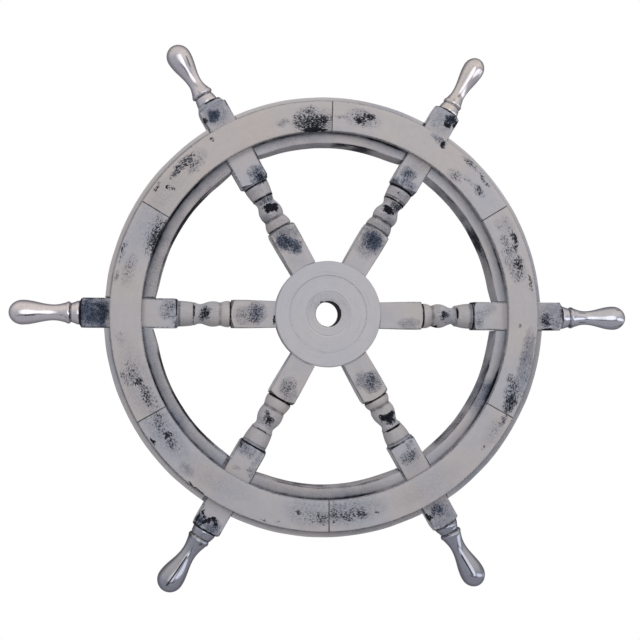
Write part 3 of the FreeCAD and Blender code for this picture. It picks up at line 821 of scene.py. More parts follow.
class Paint(Recipe):
    """Whitewash over a dark undercoat, rubbed through by hand."""

    def __init__(self, name, place, grain, fleck=(1, 1, 1)):
        super().__init__(name)
        self.colours = bpy.context.scene.wheel_colours
        self.place = place(self)
        self.broad = self.noise(self.place, 60, detail=2)
        self.cloud = self.noise(self.place, 13, detail=3, roughness=0.6)
        self.clump = self.noise(self.place, 4.2, detail=2, roughness=0.6, stretch=grain)
        self.speck = self.noise(self.place, 1.2, detail=2, roughness=0.65, stretch=fleck)
        self.brush = self.noise(self.place, 3.0, detail=3, roughness=0.7, stretch=grain)
        warp = self.node("ShaderNodeMapping", {}, {
            "Vector": self.place, "Scale": (1 / 6, 1 / 6, 1 / 6)})
        warp = self.node("ShaderNodeTexNoise", {}, {
            "Vector": warp, "Scale": 1.0, "Detail": 1.0}, output=1)
        self.warp = self.split(warp)

    def finish(self, warmth, haze, bare, line, pale=None, grain=0.55):
        """Lay haze, bare undercoat and dark lines over the two tones of whitewash. The haze and
        the dark lines also carry painted shade, and the pale share painted light and highlights.
        """
        colours = self.colours
        tone = (self.broad - 0.5) * 3.4 + (self.cloud - 0.5) * 0.6 + warmth
        coat = self.blend(colours.cool_coat, colours.warm_coat, tone.held())
        coat = self.blend(coat, colours.aged_coat, tone.ramp(1.0, 2.0))
        light = (self.brush - 0.5) * 0.9 + (self.cloud - 0.5) * 0.7 + (self.speck - 0.5) * 0.35
        coat = self.blend(coat, THIN_STROKES, (light * -0.55).held())
        coat = self.blend(coat, THICK_STROKES, (light * 0.55).held())
        if pale is not None:
            coat = self.blend(coat, PALE_TONE_AND_HIGHLIGHT, pale.held())
        flecks = (self.speck - 0.5) * 2.7 + (self.clump - 0.5) * 0.8
        hazy = haze * (0.76 + (self.cloud - 0.5) * 0.8) + haze.ramp(0.0, 0.3) * flecks * grain
        bared = (bare * 1.05 + flecks).ramp(0.60, 1.0) * bare.ramp(0.02, 0.25)
        under = self.blend(colours.undercoat, colours.haze, self.speck.ramp(0.52, 0.75) * 0.35)
        tinted = self.blend(coat, colours.haze, hazy.held().least(0.95))
        tinted = self.blend(tinted, DEEP_HAZE, ((hazy - 0.75) * 0.9).held())
        painted = self.blend(tinted, under, bared)
        lined = (line * (0.85 + (self.clump - 0.5) * 1.6 + (self.speck - 0.5) * 0.8)).held()
        painted = self.blend(painted, colours.undercoat, lined)
        height = self.brush * 0.35 + self.speck * 0.15 - bared * 0.5 - lined * 0.4
        bump = self.node("ShaderNodeBump", {}, {
            "Strength": 0.4, "Distance": 0.0004, "Height": height})
        rough = 0.66 + (self.brush - 0.5) * 0.2 - bared * 0.12
        return self.surface(
            Base_Color=painted, Roughness=rough, Normal=bump, Specular_IOR_Level=0.12)


def spoke_lines(paint, number, along, depth, across, front, side, edge):
    """The dark lines round a spoke, which are painted shade and grime, the dark lines along its
    rubbed edges, and its pale ridges, which are painted highlights.
    """
    line, pale = edge * 0.0, None
    for place, half, strength, middle, reach in SPOKE_GROOVES[number]:
        mark = along.near(place, half * 1.7) * across.near(middle, reach).ramp(0.0, 0.35) * front
        # A pale ridge is a painted highlight.
        if strength < 0:
            pale = mark * -strength if pale is None else pale.most(mark * -strength)
        else:
            line = line.most((mark * 1.6).held() * strength)
    for middle, half, way, strength in SPOKE_EDGES[number]:
        beside = (across * way).ramp(0, 2) * (depth * -1).ramp(10.0, 12.4)
        mark = along.near(middle, half).ramp(0.0, 0.25) * beside * strength
        line = line.most(mark * side * (0.35 + paint.cloud * 1.1))
    return line, pale


def spoke_paint(number, shape):
    """Paint for one spoke: rubbed places, worn edges, grime and painted shade in the turned
    grooves, and painted light on its sides.
    """
    turn = shape["turn"]
    paint = Paint(
        f"spoke_paint_{number + 1}", lambda r: r.local_place(turn, -shape["shift"]), (0.45, 1, 1))
    along, depth, across = paint.split(paint.place)
    tilt = abs(paint.split(paint.facing(turn))[0])
    front = (depth * -1).ramp(-1.0, 1.5)
    warped = (along + (paint.warp[0] - 0.5) * 7, across + (paint.warp[2] - 0.5) * 7)
    haze, bare = rubbed(*warped, SPOKE_RUBS[number])
    haze, bare = haze * front, bare * front
    radius = (depth ** 2 + across ** 2) ** 0.5
    from_edge = PAINTED_SIDE - abs(depth).least(abs(across))
    edge = (1 - from_edge.ramp(0.1, 1.7)) * radius.ramp(14.2, 15.2)
    side = 1 - (13.9 - abs(across)).ramp(0.1, 1.5)
    line, pale = spoke_lines(paint, number, along, depth, across, front, side, edge)
    # Rubbed paint and painted shade on the shoulders, where the surface faces along the spoke.
    shoulder = tilt.ramp(0.5, 0.8) * along.ramp(60, 62)
    # Painted shade with grime on the turned part's steep faces, where the surface faces along the
    # spoke.
    groove = tilt.ramp(0.25, 0.75) * along.ramp(95, 97) * (1 - along.ramp(141, 142))
    lumps = (paint.noise(paint.place, 22, detail=1) - 0.54).ramp(0.0, 0.18)
    back = depth.ramp(9, 12) * lumps
    haze = haze.most(shoulder * 0.85).most(edge * 0.5).most(back * 0.4).most(groove * 0.42)
    bare = bare.most(shoulder * 0.5).most(back * 0.80).most(edge * (paint.cloud * 1.1))
    # Painted light: the spokes' sides are painted pale.
    flank = (abs(across) - 13.0).ramp(0.0, 0.3) * (1 - side * 0.3)
    pale = flank if pale is None else pale.most(flank)
    neck = along.ramp(128, 130) * (1 - along.ramp(140, 142))
    haze = haze.most(neck * 0.13)
    warmth = neck * 0.7 - along.ramp(208, 214) * 0.4 + 0.42
    return paint.finish(warmth, haze, bare, line, pale)


def polar_place(recipe, turn):
    """Millimetres outwards, along the rim and in depth, from an angle of the wheel."""
    flat = recipe.local_place(turn)
    out, depth, across = recipe.split(flat)
    radius = (out ** 2 + across ** 2) ** 0.5
    arc = across.maths("ARCTAN2", out) * FELLOE_MIDDLE
    recipe.radius, recipe.arc, recipe.depth = radius, arc, depth
    recipe.out, recipe.across = out, across
    return recipe.node("ShaderNodeCombineXYZ", {}, {0: radius, 1: arc, 2: depth})


def flat_place(recipe):
    """Plain millimetres for a round piece, which keeps its radius and arc at hand."""
    polar_place(recipe, 0)
    return recipe.local_place(0)


def arc_of(angle, turn):
    """An angle of the wheel, in millimetres along the rim from a piece's middle."""
    away = (angle - turn + 180) % 360 - 180
    return math.radians(away) * FELLOE_MIDDLE


def felloe_paint(number, front):
    """Paint for one felloe: rubbed places, worn edges and dark butts."""
    turn = number * SECTOR
    side = "front" if front else "back"
    paint = Paint(
        f"felloe_paint_{side}_{number + 1}", lambda r: polar_place(r, turn), (1, 0.35, 1),
        (1.1, 0.5, 1))
    radius, arc = paint.radius, paint.arc
    inside, outside = radius - FELLOE_INNER, FELLOE_OUTER - radius
    if front:
        rubs = [
            (place, arc_of(angle, turn), height, math.radians(half) * FELLOE_MIDDLE, haze, bare)
            for angle, place, half, height, haze, bare in FELLOE_RUBS[number]
        ]
        warped = (radius + (paint.warp[0] - 0.5) * 6, arc + (paint.warp[1] - 0.5) * 6)
        haze, bare = rubbed(*warped, rubs)
    else:
        lumps = (paint.noise(paint.place, 20, detail=1) - 0.56).ramp(0.0, 0.18)
        haze, bare = lumps * 0.4, lumps * 0.80
    edge = 1 - inside.least(outside).ramp(0.0, 1.5)
    haze = haze.most(edge * 0.5)
    bare = bare.most(edge * (paint.cloud * 1.05))
    line = arc * 0.0
    for angle in (BUTTS[number - 1], BUTTS[number]):
        line = line.most(arc.near(arc_of(angle, turn), 0.9) * (0.5 + paint.cloud))
    return paint.finish(FELLOE_WARMTH[number], haze, bare, line)


def rail_paint(number):
    """Paint for one rail segment: painted shade at the felloes, in the corners beside them and on
    its inner wall, dark joints where it meets the spokes, and painted light on its lip.
    """
    turn = (number + 0.5) * SECTOR
    paint = Paint(f"rail_paint_{number + 1}", lambda r: polar_place(r, turn), (1, 0.35, 1))
    radius, arc = paint.radius, paint.arc
    front = (paint.depth * -1).ramp(11.5, 12.5)
    rim = RAIL_SHAPES[number]
    inner = 1 - radius.ramp(180, 190)
    # Painted shade in the corner under the felloes' inner edge: its strength going round, then
    # the dark line itself.
    step = round_the_rim(arc, turn, STEP_SHADE, 0.3)
    line = radius.near(177.3, 2.2) * (step * (0.75 + paint.cloud * 0.5)).most(0.42)
    # Painted shade: a thin dark line in the corner where the felloes' outer edge meets the lip.
    line = line.most(radius.near(208.4, 1.3) * (paint.cloud * 0.95))
    half = math.radians(SECTOR / 2)
    reach = abs(paint.out) * math.sin(half) - abs(paint.across) * math.cos(half)
    joint = 1 - (reach - PAINTED_SIDE).ramp(0.2, 1.6)
    line = line.most(joint * (0.1 + paint.cloud * 1.4))
    # A dark line along the rail's inner edge, rubbed paint and painted shade.
    edge = 1 - (radius - rim["inner"]).ramp(0.3, 1.8)
    line = line.most(edge * front * round_the_rim(arc, turn, WALL_RUBS_AND_SHADE, 0.2) * 0.9)
    # Painted shade on the band just below the felloes' step, laid in as haze.
    shade = radius.near(FELLOE_INNER, 8.5) * (0.36 + step * 0.22)
    # Rubbed paint and painted shade on the band and on the lip, where the felloes' step shades
    # them.
    band = round_the_rim(arc, turn, BAND_RUBS_AND_SHADE, 0.1) * inner
    lip = round_the_rim(arc, turn, LIP_RUBS_AND_SHADE, 0.1) * (1 - inner)
    # The whole inner wall gets painted shade as haze; its dark places add rubbed paint and more
    # painted shade.
    wall = 1 - (radius - rim["inner"]).ramp(0.1, 0.6)
    dark_wall = round_the_rim(arc, turn, WALL_RUBS_AND_SHADE, 0.2) * wall * (0.6 + paint.cloud)
    haze = (shade + band * 0.8).most(lip).most(wall * 0.55).most(dark_wall)
    bare = (dark_wall * 0.95).most(band * 0.5).most(lip * 0.3)
    # Painted light: the lip outside the felloes is painted paler.
    pale = (1 - inner) * 0.2
    return paint.finish(RAIL_WARMTH[number], haze, bare, line, pale, grain=0.3)


def hub_paint():
    """Paint for the hub: the tool's faint rings, painted shade on its rim, painted shade and
    highlights on its face, and a dark bore.
    """
    paint = Paint("hub_paint", flat_place, (1, 1, 1))
    radius = paint.radius
    turned = paint.node("ShaderNodeCombineXYZ", {}, {0: radius, 1: paint.arc * 0.01})
    rings = paint.noise(turned, 1.9, detail=2)
    pale = (rings - 0.5).ramp(0.05, 0.25) * 0.35
    lower = 1 - paint.across.ramp(-12, 12)
    # Painted light: the V ring at 21.5 mm is paler, most in its lower half, where it is a painted
    # highlight.
    pale = pale.most(radius.near(21.5, 1.3) * (0.15 + lower * 0.5))
    # Painted highlight: a pale line on the edge of the step at 38 mm.
    pale = pale.most(radius.near(38.2, 1.0) * 0.2)
    # Painted shade: the upper half of the face inside the V ring is darker, laid in as haze.
    inner = (1 - radius.ramp(20.4, 21.6)) * (1 - lower) * 0.20
    pale = pale.most(0.24)
    ring = (0.5 - rings).ramp(0.05, 0.25) * 0.16
    # Painted shade on the hub's rounded front rim.
    rim = radius.ramp(50.0, 51.4)
    wall = 1 - radius.ramp(12.1, 12.9)
    mouth = (1 - radius.ramp(12.6, 13.4)) * paint.cloud
    chip = paint.arc.near(arc_of(120, 0), 36) * (1 - radius.ramp(13.6, 14.8))
    # The haze holds the tool's rings, the painted shade on the face and the rim, the dark bore,
    # and painted shade at the foot of the step at 37 mm.
    haze = (ring + inner).most(rim * 0.3).most(wall * 0.9).most(radius.near(37.2, 0.9) * 0.3)
    bare = (wall * 1.6).most(mouth).most(chip * 1.5)
    return paint.finish(0.30, haze, bare, wall * 0.9, pale)


# Painted dark reflections, thin lines along each handle: from and to, across at both
# ends, half width and strength. Across counts anticlockwise from the handle's ideal
# axis. Millimetres.
HANDLE_REFLECTION_LINES = [
    [(274, 290, -3.0, -3.4, 0.6, 0.8), (252, 263, 4.3, 4.0, 0.7, 0.9),
     (252, 263, -5.2, -4.9, 0.7, 0.9), (244, 251, 8.2, 9.0, 2.6, 0.8),
     (242, 249, -8.6, -9.6, 2.8, 0.8), (291, 297, 7.8, 7.0, 0.8, 1.1),
     (293, 300, -8.9, -6.6, 0.7, 1.1), (288, 300, -9.6, -7.0, 0.9, 0.4)],
    [(253, 259, -2.6, -3.4, 1.7, 0.9), (247, 252, -0.6, -0.6, 1.2, 0.9),
     (262, 292, -4.2, -9.4, 0.5, 0.4), (294, 300, -8.2, -4.0, 0.9, 0.9)],
    [(273, 287, -1.0, -2.8, 1.2, 0.9), (245, 251, 2.0, 4.5, 1.4, 0.6),
     (294, 299, 6.0, 9.0, 0.6, 0.6), (253, 262, 1.8, 3.4, 0.9, 0.5)],
    [(275, 289, 3.6, 4.6, 1.2, 1.1), (281, 296, 4.7, 4.9, 0.5, 0.6),
     (246, 251, 7.4, 4.0, 1.5, 0.7), (250, 256, 3.6, 3.8, 0.8, 0.8)],
    [(264, 299, 1.2, -2.2, 1.1, 1.5), (292, 298, -1.2, -2.0, 1.5, 1.0),
     (246, 252, 7.0, 6.0, 2.6, 0.9), (244, 250, -6.5, -6.5, 3.0, 1.0)],
    [(267, 292, -1.1, -1.5, 1.0, 1.5), (285, 299, 9.6, 6.0, 0.8, 0.5),
     (259, 264, 5.0, 4.0, 0.8, 0.8)],
]

# How much of each colour each handle's polish gives back, made darker or brighter as a
# painted reflection, the two lower handles much darker; the tone of the grime in its
# groove and of the painted dark reflections; and the studs' darker grain.
HANDLE_REFLECTION_TINTS = [(0.93, 0.97, 1.05), (1.09, 1.07, 1.07), (1.07, 1.07, 1.12), (1.17, 1.16, 1.19),
                (0.63, 0.67, 0.74), (0.62, 0.665, 0.75)]
GRIME_AND_REFLECTION_TONE = (0.03, 0.028, 0.032)
STEEL_GRAIN = (0.30, 0.30, 0.31)


def handle_metal(number):
    """Polished aluminium with a slightly wavy cast surface, grime in its groove and thin painted
    reflections along it.
    """
    colours = bpy.context.scene.wheel_colours
    recipe = Recipe(f"handle_metal_{number + 1}")
    place = recipe.local_place(number * SECTOR)
    along, depth, across = recipe.split(place)
    waves = recipe.noise(place, 16, detail=1, stretch=(0.6, 1, 1))
    pits = recipe.noise(place, 1.4, detail=2, roughness=0.6)
    scratches = recipe.noise(place, 2.4, detail=2, stretch=(2.5, 0.4, 0.4))
    groove = along.near(244.7, 1.5).most(along.near(236.9, 0.7) * 0.8)
    dirt_and_reflections = groove * (0.7 + (pits - 0.5) * 2.6 + (scratches - 0.5) * 2)
    front = (depth * -1).ramp(-1, 1)
    # Painted reflections: thin dark lines drawn along the handle's front.
    for start, stop, first, last, half, strength in HANDLE_REFLECTION_LINES[number]:
        slope = (last - first) / (stop - start)
        course = (along - start) * slope + first
        drawn = (1 - abs(across - course) * (1 / half)).held() * front
        length = (along - start).ramp(0, 3) * (stop - along).ramp(0, 3)
        dirt_and_reflections = dirt_and_reflections.most(drawn * length * strength)
    # Painted reflection: each handle's metal is made darker or brighter.
    tint = HANDLE_REFLECTION_TINTS[number]
    metal = tuple(value * share for value, share in zip(colours.aluminium, tint))
    dull = tuple(value * 0.78 for value in metal)
    polish = recipe.blend(metal, dull, ((scratches - 0.4) * 1.4).held())
    polish = recipe.blend(polish, GRIME_AND_REFLECTION_TONE, dirt_and_reflections.held())
    rough = 0.13 + (scratches - 0.5) * 0.25 + dirt_and_reflections.held() * 0.3
    bump = recipe.node("ShaderNodeBump", {}, {
        "Strength": 0.5, "Distance": 0.0005, "Height": waves + pits * 0.05})
    return recipe.surface(
        Base_Color=polish, Roughness=rough.most(0.05), Metallic=1.0, Normal=bump)


def stud_steel():
    """Plain steel with a fine grain."""
    recipe = Recipe("stud_steel")
    place = recipe.local_place(0)
    grain = recipe.noise(place, 1.5, detail=2)
    tint = recipe.blend(
        bpy.context.scene.wheel_colours.steel, STEEL_GRAIN, grain.ramp(0.4, 0.6))
    return recipe.surface(Base_Color=tint, Roughness=0.3 + grain * 0.2, Metallic=1.0)


def dress(piece, material, node):
    """Give a piece its material, its body and the solid that it stands for."""
    piece.data.materials.clear()
    piece.data.materials.append(material)
    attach(piece, "root")
    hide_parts(node)


def hub_profile():
    """The turned hub from back to front, as (along the axis, radius) in millimetres.

    The face keeps the tool's faint rings, and the back of the rim is well rounded.
    """
    profile = [(-15.0, 13.4), (-15.0, 47.6), (-14.4, 49.0), (-12.5, 50.2), (-9.0, 51.0),
               (-3.0, 51.5), (13.8, 51.5), (14.45, 51.3), (14.85, 50.8), (15.0, 50.1)]
    rings = [49.2, 47.8, 46.1, 44.9, 43.2, 41.7, 40.4, 39.0]
    profile += [(14.98 - 0.07 * (place % 2), radius) for place, radius in enumerate(rings)]
    profile += [(14.95, 38.1), (14.75, 37.7), (14.5, 37.3)]
    rings = [36.4, 34.9, 33.6, 31.8, 30.5, 28.9, 27.2, 26.0, 24.4]
    profile += [(14.5 - 0.07 * (place % 2), radius) for place, radius in enumerate(rings)]
    profile += [(14.46, 22.3), (14.1, 21.9), (13.95, 21.5), (14.1, 21.1), (14.44, 20.7)]
    profile += [(14.5, 19.0), (14.42, 17.4), (14.5, 15.8), (14.42, 14.4), (14.3, 13.1)]
    profile += [(14.05, 12.5), (13.6, 12.25), (-13.9, 12.25), (-14.7, 12.6), (-15.0, 13.4)]
    return profile


class WHEEL_OT_turn_hub(bpy.types.Operator):
    """Turn the hub, bore the spokes' mortises and paint it"""

    bl_idname = "wheel.turn_hub"
    bl_label = "Turn hub"

    def execute(self, context):
        hub = turn_on_lathe("turned_hub", hub_profile(), steps=192)
        hub.data.transform(Matrix.Rotation(math.radians(-90), 4, "Z"))
        for shape in SPOKE_SHAPES:
            drill_along(hub, MORTISE, 30, 44.5, shape["shift"], shape["turn"])
        smooth(hub, 28)
        dress(hub, hub_paint(), "hub")
        return {"FINISHED"}


class WHEEL_OT_turn_spokes(bpy.types.Operator):
    """Turn six spokes out of square stock and paint them"""

    bl_idname = "wheel.turn_spokes"
    bl_label = "Turn spokes"

    def execute(self, context):
        sizes = context.scene.wheel_sizes
        for number, shape in enumerate(SPOKE_SHAPES):
            spoke = spoke_stock(sizes, shape["wide"])
            spoke.name = spoke.data.name = f"worn_spoke_{number + 1}"
            lathe = turn_on_lathe("lathe_cut", spoke_profile(shape))
            cut_with(spoke, lathe, "INTERSECT")
            smooth(spoke)
            spoke.data.transform(Matrix.Translation((0, 0, shape["shift"] * MM)))
            turn_about_axis(spoke, shape["turn"])
            dress(spoke, spoke_paint(number, shape), f"spoke_{number + 1}")
        return {"FINISHED"}


def fit_against(rail, spoke, way):
    """Saw a rail segment's end to lie against a spoke. The way is 1 or -1."""
    angle = math.radians(spoke["turn"])
    across = Vector((-math.sin(angle), 0, math.cos(angle)))
    face = spoke["shift"] + way * (spoke["wide"] / 2 + RAIL_GAP)
    saw_off(rail, across * face * MM, across * way)


def sand_flat(rail, spoke, way, inner, depth):
    """Sand a shallow flat on the rail's inner wall beside a spoke."""
    near = spoke["shift"] + way * spoke["wide"] / 2
    far = near + way * FLAT_LENGTH
    rise = inner + depth - math.sqrt(inner ** 2 - far ** 2)
    clear_selection()
    bpy.ops.mesh.primitive_cube_add(size=1)
    block = bpy.context.object
    thick, deep, spare = 10, 60, 3
    length = math.hypot(rise, FLAT_LENGTH) + 2 * spare
    block.data.transform(Matrix.Diagonal((thick * MM, deep * MM, length * MM, 1)))
    block.data.transform(
        Matrix.Translation((-thick / 2 * MM, 0, way * (length / 2 - spare) * MM)))
    block.data.transform(Matrix.Rotation(-way * math.atan2(rise, FLAT_LENGTH), 4, "Y"))
    block.data.transform(Matrix.Translation(((inner + depth) * MM, 0, near * MM)))
    turn_about_axis(block, spoke["turn"])
    cut_with(rail, block, "DIFFERENCE")


class WHEEL_OT_fit_rail(bpy.types.Operator):
    """Fit the middle layer of the rim between the spokes"""

    bl_idname = "wheel.fit_rail"
    bl_label = "Fit rail"

    def execute(self, context):
        sizes = context.scene.wheel_sizes
        half = sizes.stock / 2
        for number, rim in enumerate(RAIL_SHAPES):
            rail = ring_piece(
                f"worn_rail_{number + 1}", rim["inner"] * MM, rim["outer"] * MM, -half, half,
                number * SECTOR, (number + 1) * SECTOR, wear=1.3 * MM, worn_low=True,
                worn_high=True)
            for end, way, depth in zip((number, number + 1), (1, -1), rim["flats"]):
                spoke = SPOKE_SHAPES[end % SPOKES]
                fit_against(rail, spoke, way)
                sand_flat(rail, spoke, way, rim["inner"], depth)
            work_on(rail)
            bpy.ops.mesh.select_all(action="SELECT")
            bpy.ops.mesh.normals_make_consistent(inside=False)
            bpy.ops.object.mode_set(mode="OBJECT")
            sand_by_hand(rail, grain=0.03, depth=0.7 * MM)
            smooth(rail)
            dress(rail, rail_paint(number), f"rail_segment_{number + 1}")
        return {"FINISHED"}


class WHEEL_OT_lay_felloes(bpy.types.Operator):
    """Lay the facing felloes on both faces of the rim"""

    bl_idname = "wheel.lay_felloes"
    bl_label = "Lay felloes"

    def execute(self, context):
        sizes = context.scene.wheel_sizes
        low, high = sizes.stock / 2, sizes.facing_face
        for number in range(SPOKES):
            stop = BUTTS[number]
            start = BUTTS[number - 1] - (360 if number == 0 else 0)
            for side, sign in (("front", -1), ("back", 1)):
                near, far = sorted((sign * low, sign * high))
                felloe = ring_piece(
                    f"worn_felloe_{side}_{number + 1}", sizes.facing_inner,
                    sizes.facing_outer, near, far, start, stop, wear=1.1 * MM,
                    worn_low=sign < 0, worn_high=sign > 0)
                sand_by_hand(felloe, grain=0.025, depth=0.6 * MM)
                smooth(felloe)
                dress(
                    felloe, felloe_paint(number, sign < 0),
                    f"{side}_felloe_{number + 1}")
        return {"FINISHED"}


# The plane that a handle's foot ends on, just outside its stub.
FOOT_PLANE = STUB_END + 0.05


def handle_profile(shape):
    """A handle from its foot to its tip, as (along, radius) in millimetres."""
    neck, widest, tip = shape["neck"], shape["widest"], shape["tip"]
    foot, groove, collar, slim, grip = shape["radii"]
    profile = [(235.9, 0.0), (235.9, foot - 0.5), (236.9, foot), (238.4, foot - 0.2)]
    profile += curve_steps((238.4, foot - 0.2), (243.2, groove + 0.6), ogee, 6)
    profile += [(243.9, groove + 0.1), (244.6, groove - 0.2), (245.1, groove + 0.1)]
    profile += curve_steps((245.1, groove + 0.1), (247.3, collar), swell, 5)
    profile += curve_steps((247.3, collar), (249.6, collar - 1.0), dip, 4)
    profile += curve_steps((249.6, collar - 1.0), (neck, slim), swell, 10)
    profile += curve_steps((neck, slim), (widest, grip), ogee, 26)
    steps = 18
    for step in range(1, steps + 1):
        angle = math.pi / 2 * step / steps
        profile.append((widest + (tip - widest) * math.sin(angle), grip * math.cos(angle)))
    profile[-1] = (tip, 0.0)
    return profile


class WHEEL_OT_cast_handles(bpy.types.Operator):
    """Cast and polish six handles, each a little different"""

    bl_idname = "wheel.cast_handles"
    bl_label = "Cast handles"

    def execute(self, context):
        for number, shape in enumerate(HANDLE_SHAPES):
            handle = turn_on_lathe(f"polished_handle_{number + 1}", handle_profile(shape))
            near, far = shape["offsets"]
            lean = math.atan2(far - near, OFFSET_PLACES[1] - OFFSET_PLACES[0])
            pivot = Matrix.Translation((OFFSET_PLACES[0] * MM, 0, 0))
            swing = Matrix.Rotation(lean, 4, Vector((0, -1, 0)))
            handle.data.transform(
                Matrix.Translation((0, 0, near * MM)) @ pivot @ swing @ pivot.inverted())
            saw_off(handle, (FOOT_PLANE * MM, 0, 0), (1, 0, 0))
            drill_along(handle, STUD_HOLE, 40, 240.5, stub_offset(number), vertices=46)
            smooth(handle, 40)
            turn_about_axis(handle, number * SECTOR)
            dress(handle, handle_metal(number), f"handle_{number + 1}")
        return {"FINISHED"}


def stub_offset(number):
    """How far a stub's end lies to the anticlockwise side of its ideal place."""
    spoke = SPOKE_SHAPES[number]
    stray = math.radians(spoke["turn"] - number * SECTOR)
    return STUB_END * math.sin(stray) + spoke["shift"] * math.cos(stray)


def stud_profile():
    """A stud with its thread, as (along, radius) in millimetres."""
    start, thread, stop, pitch = 216.2, 217.0, 259.9, 1.4
    ends, crest, root = 3.2, 3.95, 3.35
    profile = [(start, 0.0), (start, ends)]
    for turn in range(31):
        place = thread + turn * pitch
        profile += [(place, crest), (place + pitch / 2, root)]
    return profile + [(stop, ends), (stop, 0.0)]


class WHEEL_OT_fit_studs(bpy.types.Operator):
    """Cut the threaded studs that join handles and spokes"""

    bl_idname = "wheel.fit_studs"
    bl_label = "Fit studs"

    def execute(self, context):
        steel = stud_steel()
        for number in range(SPOKES):
            stud = turn_on_lathe(f"threaded_stud_{number + 1}", stud_profile(), steps=32)
            stud.data.transform(Matrix.Translation((0, 0, stub_offset(number) * MM)))
            turn_about_axis(stud, number * SECTOR)
            smooth(stud, 40)
            dress(stud, steel, f"handle_stud_{number + 1}")
        return {"FINISHED"}


# The photograph's frame, in pixels, and the camera that fits it.
PHOTO_SIDE = 640
FOCAL_LENGTH = 1055.389
PRINCIPAL_POINT = (334.045, 283.178)
SENSOR_WIDTH = 36.0
CAMERA_PLACE = (-118.02, -1028.09, -31.46)
CAMERA_AIM = (6.994, 0.0, 30.815)
CAMERA_ROLL = 0.46993


def set_camera():
    """The camera that saw the wheel in the photograph."""
    data = bpy.data.cameras.new("camera")
    data.sensor_width = SENSOR_WIDTH
    data.lens = FOCAL_LENGTH / PHOTO_SIDE * SENSOR_WIDTH
    data.shift_x = (PHOTO_SIDE / 2 - PRINCIPAL_POINT[0]) / PHOTO_SIDE
    data.shift_y = (PRINCIPAL_POINT[1] - PHOTO_SIDE / 2) / PHOTO_SIDE
    data.clip_start = 0.01
    data.clip_end = 100
    camera = bpy.data.objects.new("camera", data)
    bpy.context.scene.collection.objects.link(camera)
    place = Vector(CAMERA_PLACE) * MM
    ahead = (Vector(CAMERA_AIM) * MM - place).normalized()
    right = ahead.cross(Vector((0, 0, 1))).normalized()
    up = right.cross(ahead)
    roll = math.radians(CAMERA_ROLL)
    rolled_right = right * math.cos(roll) + up * math.sin(roll)
    rolled_up = up * math.cos(roll) - right * math.sin(roll)
    axes = Matrix((rolled_right, rolled_up, -ahead)).transposed()
    camera.matrix_world = Matrix.Translation(place) @ axes.to_4x4()
    bpy.context.scene.camera = camera


# The lamps, which all point at the wheel's middle: name, place and size in metres, power
# and tint.
LAMPS = [
    ("key_lamp", (-0.62, -1.25, 1.0), (0.9, 0.7), 10.1, (1.0, 0.985, 0.965)),
    ("right_lamp", (0.95, -0.75, 0.55), (0.5, 0.5), 4.5, (1.0, 0.99, 0.98)),
    ("back_lamp", (0.12, 1.65, 0.25), (0.6, 0.6), 9.0, (1.0, 0.99, 0.98)),
]


def add_lamp(name, place, size, power, tint):
    """A rectangular lamp that polished metal doesn't mirror."""
    data = bpy.data.lights.new(name, "AREA")
    data.shape = "RECTANGLE"
    data.size, data.size_y = size
    data.energy = power
    data.color = tint
    lamp = bpy.data.objects.new(name, data)
    bpy.context.scene.collection.objects.link(lamp)
    lamp.location = place
    lamp.rotation_euler = (-Vector(place)).to_track_quat("-Z", "Y").to_euler()
    lamp.visible_glossy = False


# What the metal mirrors: the room's tones by height, then soft bright and dark shapes
# in front of the wheel, each with its place and half size to the right and upwards in
# the direction's own units, its sharpness and its tone.
ROOM = {
    "below": (0.36, 0.353, 0.375), "level": (0.44, 0.43, 0.465), "above": (0.66, 0.61, 0.57),
    "behind": (0.20, 0.19, 0.21),
}
MIRRORED_SHAPES = [
    (0.42, 0.52, 0.60, 0.40, 1.2, (0.73, 0.67, 0.62)),
    (-0.06, 0.02, 0.42, 0.42, 1.6, (0.88, 0.84, 0.83)),
    (0.10, 0.02, 0.28, 0.40, 2.4, (1.30, 1.28, 1.32)),
    (0.72, -0.16, 0.32, 0.20, 4.0, (1.20, 1.20, 1.27)),
    (0.05, -0.42, 0.50, 0.055, 2.5, (0.05, 0.05, 0.07)),
    (0.10, -0.62, 0.50, 0.12, 1.0, (0.42, 0.41, 0.46)),
]

# How strongly the sky lights the wheel from the front, from all sides and from above.
FRONT_LIGHT, SIDE_LIGHT, TOP_LIGHT = 0.33, 0.30, 0.10
SKY_TINT = (0.97, 0.98, 1.02)
WHITE = (1, 1, 1, 1)


def set_sky():
    """Even studio light, a white background, and soft tones for the metal to mirror."""
    world = bpy.data.worlds.new("studio")
    bpy.context.scene.world = world
    sky = NodeTree(world)
    side, ahead, height = sky.split(sky.node("ShaderNodeTexCoord"))
    room = sky.blend(ROOM["below"], ROOM["level"], height.ramp(-0.65, 0.0))
    room = sky.blend(room, ROOM["above"], height.ramp(0.0, 0.6))
    for right, up, half_width, half_height, sharpness, tone in MIRRORED_SHAPES:
        away = ((side - right) * (1 / half_width)) ** 2 + ((height - up) * (1 / half_height)) ** 2
        shape = ((1 - away) * sharpness).held()
        room = sky.blend(room, tone, shape)
    room = sky.blend(room, ROOM["behind"], ahead.ramp(-0.1, 0.6))
    front = (ahead * -1).ramp(-0.35, 0.85)
    strength = front * FRONT_LIGHT + SIDE_LIGHT + height * TOP_LIGHT
    lit, mirrored, white = (
        sky.node("ShaderNodeBackground", {}, {"Color": tone, "Strength": power})
        for tone, power in ((colour(SKY_TINT), strength), (room, 1.0), (WHITE, 1.0)))
    seen = sky.node("ShaderNodeLightPath", output=0)
    glossy = sky.node("ShaderNodeLightPath", output=3)
    first = sky.node("ShaderNodeMixShader", {}, {0: glossy, 1: lit, 2: mirrored})
    last = sky.node("ShaderNodeMixShader", {}, {0: seen, 1: first, 2: white})
    output = sky.tree.nodes.new("ShaderNodeOutputWorld")
    sky.tree.links.new(last.socket, output.inputs[0])


# The floor's side and height, in metres.
FLOOR_SIZE = 1.3
FLOOR_HEIGHT = -0.62


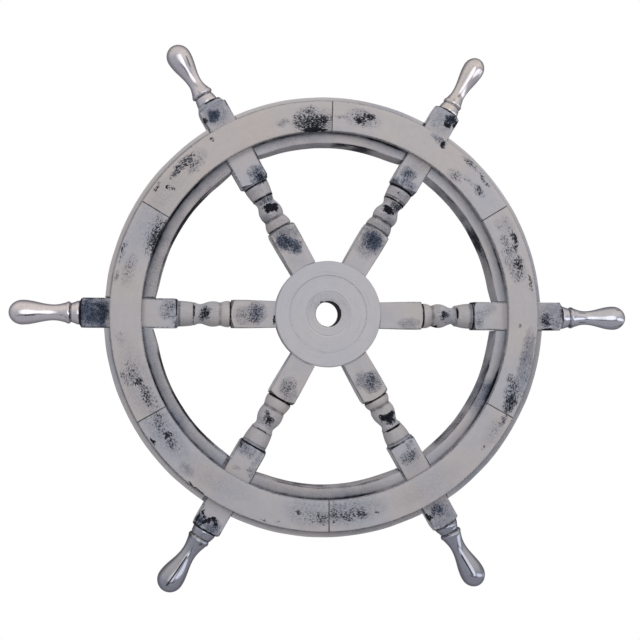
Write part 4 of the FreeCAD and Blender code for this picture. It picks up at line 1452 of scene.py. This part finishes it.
class WHEEL_OT_set_stage(bpy.types.Operator):
    """Set the floor, the lamps, the sky and the camera"""

    bl_idname = "wheel.set_stage"
    bl_label = "Set stage"

    def execute(self, context):
        context.scene.view_settings.view_transform = "Standard"
        clear_selection()
        bpy.ops.mesh.primitive_plane_add(size=FLOOR_SIZE, location=(0, 0, FLOOR_HEIGHT))
        floor = name_piece("floor")
        pale = Recipe("pale_floor")
        spot = pale.noise(pale.local_place(0), 60, detail=2)
        tint = pale.blend((0.78, 0.78, 0.78), (0.82, 0.82, 0.82), spot)
        floor.data.materials.append(pale.surface(Base_Color=tint, Roughness=0.8))
        pale.hide_from_mirrors()
        set_sky()
        set_camera()
        for lamp in LAMPS:
            add_lamp(*lamp)
        return {"FINISHED"}


class WHEEL_PT_panel(bpy.types.Panel):
    """Sizes, colours and steps of the ship wheel"""

    bl_idname = "WHEEL_PT_panel"
    bl_label = "Ship wheel"
    bl_space_type = "VIEW_3D"
    bl_region_type = "UI"
    bl_category = "Ship wheel"

    def draw(self, context):
        for group in (context.scene.wheel_sizes, context.scene.wheel_colours):
            for key in group.__annotations__:
                self.layout.prop(group, key)
        for operator in OPERATORS:
            self.layout.operator(operator.bl_idname)


OPERATORS = (
    WHEEL_OT_turn_hub, WHEEL_OT_turn_spokes, WHEEL_OT_fit_rail, WHEEL_OT_lay_felloes,
    WHEEL_OT_cast_handles, WHEEL_OT_fit_studs, WHEEL_OT_set_stage)
CLASSES = (WheelSizes, WheelColours, *OPERATORS, WHEEL_PT_panel)


def register():
    for item in CLASSES:
        bpy.utils.register_class(item)
    bpy.types.Scene.wheel_sizes = bpy.props.PointerProperty(type=WheelSizes)
    bpy.types.Scene.wheel_colours = bpy.props.PointerProperty(type=WheelColours)


def unregister():
    del bpy.types.Scene.wheel_colours
    del bpy.types.Scene.wheel_sizes
    for item in reversed(CLASSES):
        bpy.utils.unregister_class(item)


def main():
    register()
    bpy.ops.wheel.turn_hub()
    bpy.ops.wheel.turn_spokes()
    bpy.ops.wheel.fit_rail()
    bpy.ops.wheel.lay_felloes()
    bpy.ops.wheel.cast_handles()
    bpy.ops.wheel.fit_studs()
    bpy.ops.wheel.set_stage()


if __name__ == "__main__":
    main()
